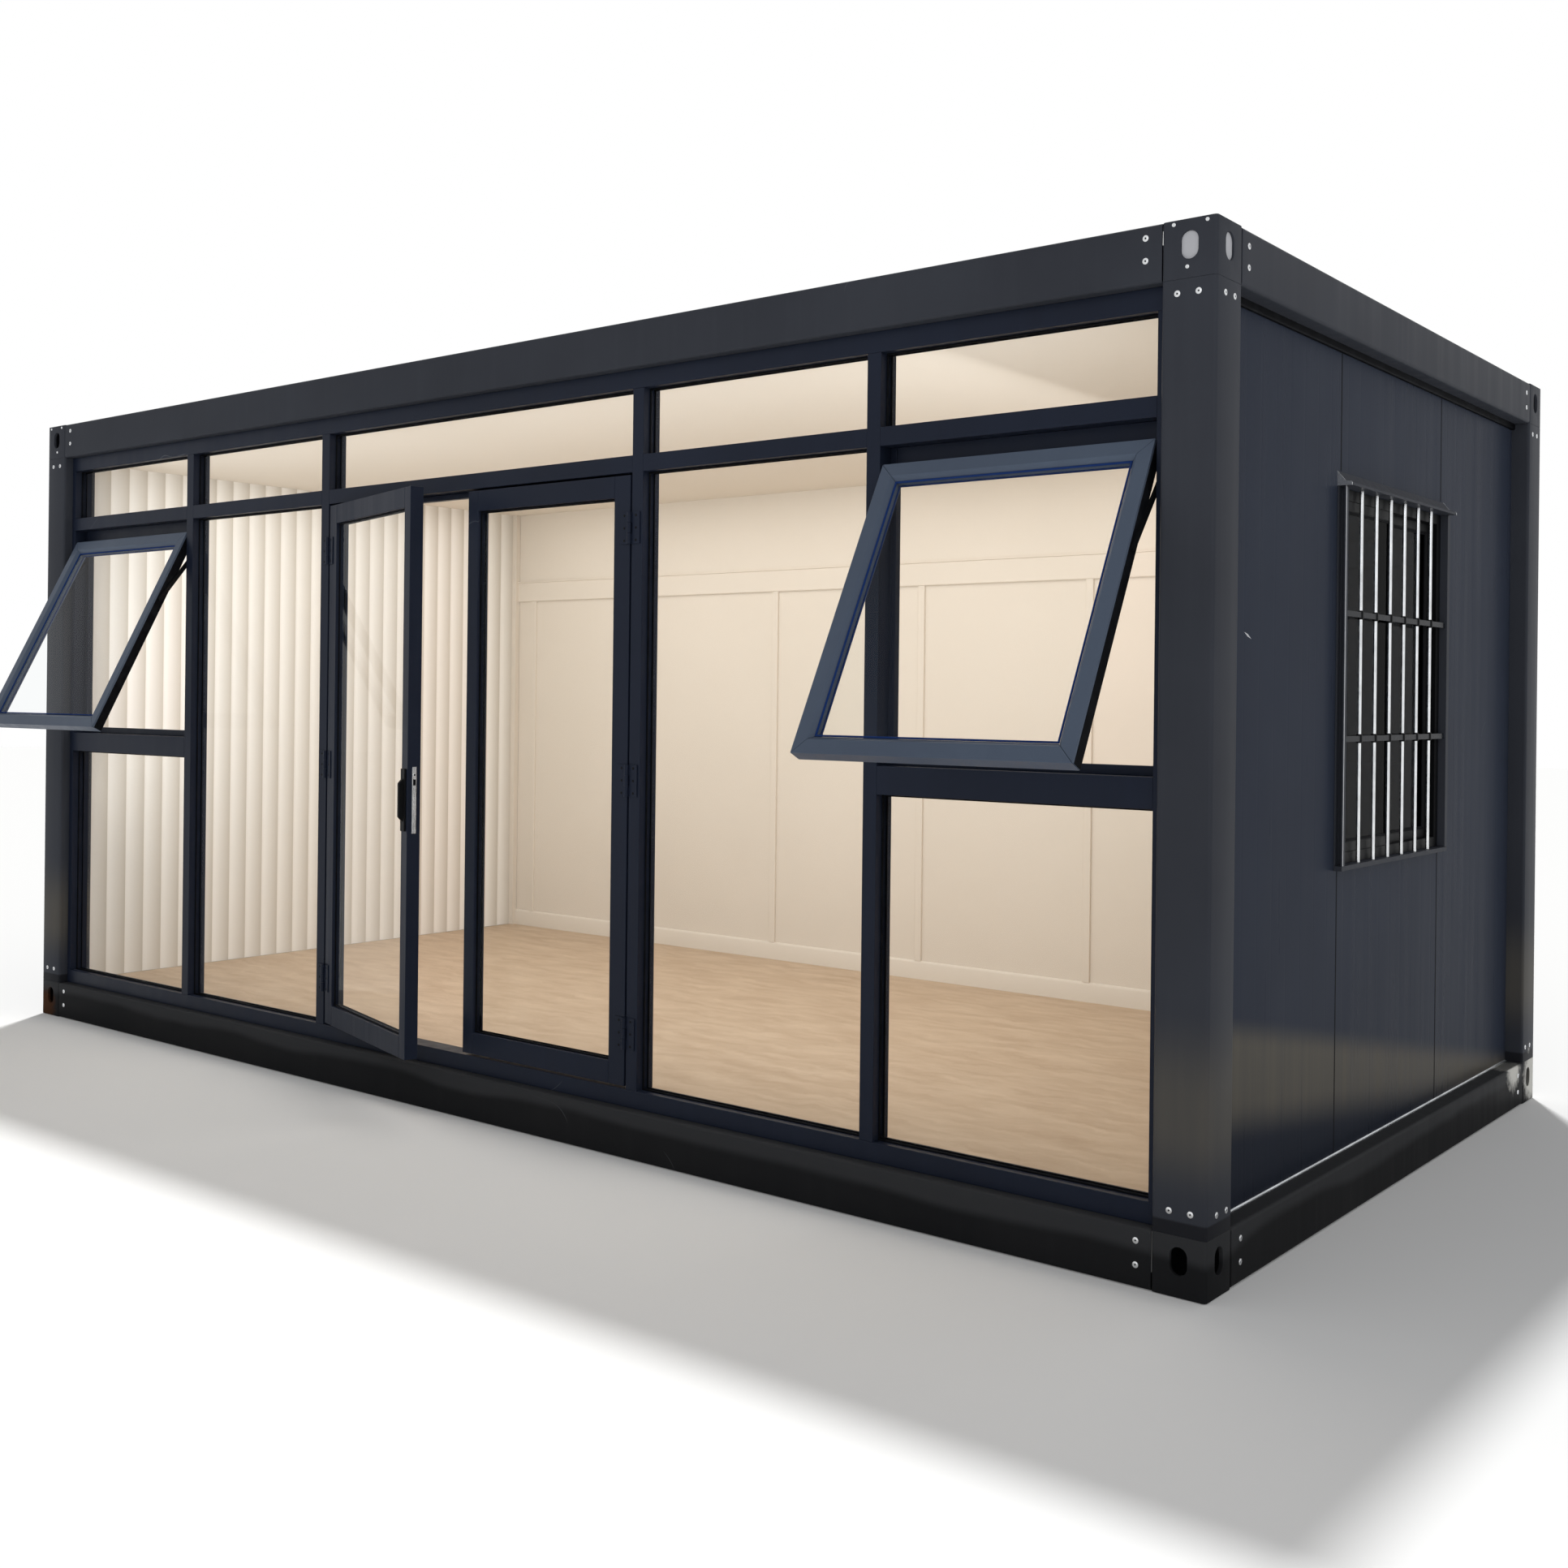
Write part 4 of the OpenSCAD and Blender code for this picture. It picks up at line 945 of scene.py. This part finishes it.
cap_radius = 24.3
cap_straight = 12.5
hole_in = 0.0775
hole_z = 2.732
cap_front = 0.006
cap_back = 0.010
angle = np.linspace(0, 2 * math.pi, 40, endpoint=False)
half = np.sign(np.sin(angle) + 1e-9)
slot_ring = np.stack([cap_radius * np.cos(angle), cap_radius * np.sin(angle) + cap_straight * half], 1)
for name, hole, inward, across in (
    ("front_hole_cap", (right_x - hole_in, front_y, hole_z), np.array((0, 1, 0)), (1, 0, 0)),
    ("end_hole_cap", (right_x, front_y + hole_in, hole_z), np.array((-1, 0, 0)), (0, 1, 0)),
):
    straight_bars(
        name, hole + cap_front * inward, hole + cap_back * inward, slot_ring, across, (0, 0, 1),
        "house", "bright_metal", cap_plastic,
    )

# Screws in the hinge plates, three to a plate, placed from the hinge axis

hinge_spacing = 0.852
screw_spacing = 0.042
screw_across = 0.027
screw_back = 0.004
steps = np.array([-1, 0, 1])
screw_z = hinge_middle + hinge_spacing * steps[:, None] + screw_spacing * steps
screw = [(0, 0.9), (2.2, 0.9), (4.0, 0.6), (4.6, 0), (0, -0.3)]
screws = np.stack(np.broadcast_arrays(screw_across, screw_back, screw_z), -1).reshape(-1, 3)
mirrored = screws * (-1, 1, 1)
out = np.array((0, -1.0, 0))
frame_screws = np.concatenate([mirrored + left_axis, screws + right_axis])
for name, places, way, body in (
    ("left_leaf_screws", on_left_leaf(screws), ajar_turn @ out, "left_door"),
    ("right_leaf_screws", mirrored + right_axis, out, "right_door"),
    ("frame_hinge_screws", frame_screws, out, "house"),
):
    turned_heads(name, places, way, screw, body, black_paint, 10)


# Floor, world and lights

def seen_share(tree):
    """1 for rays that the eye, a mirror or glass sends, and 0 for the light that falls on things."""
    rays = add(tree, "LightPath").outputs
    seen = add(tree, "Math", {0: rays["Is Camera Ray"], 1: rays["Is Glossy Ray"]}, operation="MAXIMUM")
    both = add(tree, "Math", {0: seen.outputs[0], 1: rays["Is Transmission Ray"]}, operation="MAXIMUM")
    return both.outputs[0]


def pale_floor(half=40, height=-0.002, lift=0.06):
    """Matt white floor, lifted a little for the eye so that its shadow stays a light grey."""
    data = bpy.data.meshes.new("studio_floor")
    corners = [(-half, -half, height), (half, -half, height), (half, half, height), (-half, half, height)]
    data.from_pydata(corners, [], [(0, 1, 2, 3)])
    floor = bpy.data.objects.new("studio_floor", data)
    scene.collection.objects.link(floor)
    made, tree, shader = new_finish("matt_white_floor")[:3]
    tree.nodes.remove(shader)
    matt = add(tree, "BsdfDiffuse", {"Color": linear("#EAEAE9")})
    shown = add(tree, "Math", {0: seen_share(tree), 1: lift}, operation="MULTIPLY")
    glow = add(tree, "Emission", {"Color": linear("#FFFFFF"), "Strength": shown.outputs[0]})
    both = add(tree, "AddShader", {0: matt.outputs[0], 1: glow.outputs[0]})
    tree.links.new(both.outputs[0], tree.nodes["Material Output"].inputs["Surface"])
    data.materials.append(made)


def studio_world(light=0.41):
    """White to the eye, in mirrors and through glass, and a softer white as light."""
    world = bpy.data.worlds.new("studio")
    scene.world = world
    world.use_nodes = True
    tree = world.node_tree
    level = add(tree, "MapRange", {"Value": seen_share(tree), 3: light, 4: 1.0})
    tree.links.new(level.outputs[0], tree.nodes["Background"].inputs["Strength"])
    tree.nodes["Background"].inputs["Color"].default_value = linear("#FFFFFF")


def lamp(name, kind, place, aim, energy, colour="#FFFFFF", mirrored=True, **settings):
    """A lamp at a place that points at an aim. The camera doesn't see it, and mirrors do unless mirrored is
    off."""
    data = bpy.data.lights.new(name, kind)
    data.energy = energy
    data.color = linear(colour)[:3]
    for key, value in settings.items():
        setattr(data, key, value)
    made = bpy.data.objects.new(name, data)
    scene.collection.objects.link(made)
    way = Vector(aim) - Vector(place)
    made.matrix_world = Matrix.Translation(place) @ way.to_track_quat("-Z", "Y").to_matrix().to_4x4()
    made.visible_camera = False
    made.visible_glossy = mirrored


pale_floor()
studio_world()
scene.view_settings.view_transform = "Standard"
# Sun from behind, and a wide soft lamp before the near corner
lamp("high_back", "SUN", place=(-0.75, 1.15, 2.8), aim=(0, 0, 0), energy=2.5, angle=math.radians(4))
lamp(
    "front_right", "AREA", place=(7.0, -8.0, 5.0), aim=(1.0, -1.0, 1.3), energy=120, colour="#F6F8FF",
    shape="RECTANGLE", size=8, size_y=6,
)
# Light in the room: under the ceiling, along the front and towards the slats
lamp(
    "room_ceiling", "AREA", place=(-0.3, 0.15, 2.62), aim=(-0.3, 0.15, 0), energy=33,
    shape="RECTANGLE", size=4.6, size_y=2.2,
)
lamp(
    "room_front", "AREA", place=(0, front_y + 0.16, 1.75), aim=(0, 1, 1.75), energy=34, mirrored=False,
    shape="RECTANGLE", size=5.4, size_y=1.6,
)
lamp(
    "room_end", "AREA", place=(1.9, 0.0, 1.85), aim=(-2, 0.0, 2.05), energy=6, mirrored=False,
    shape="RECTANGLE", size=2.2, size_y=1.4,
)
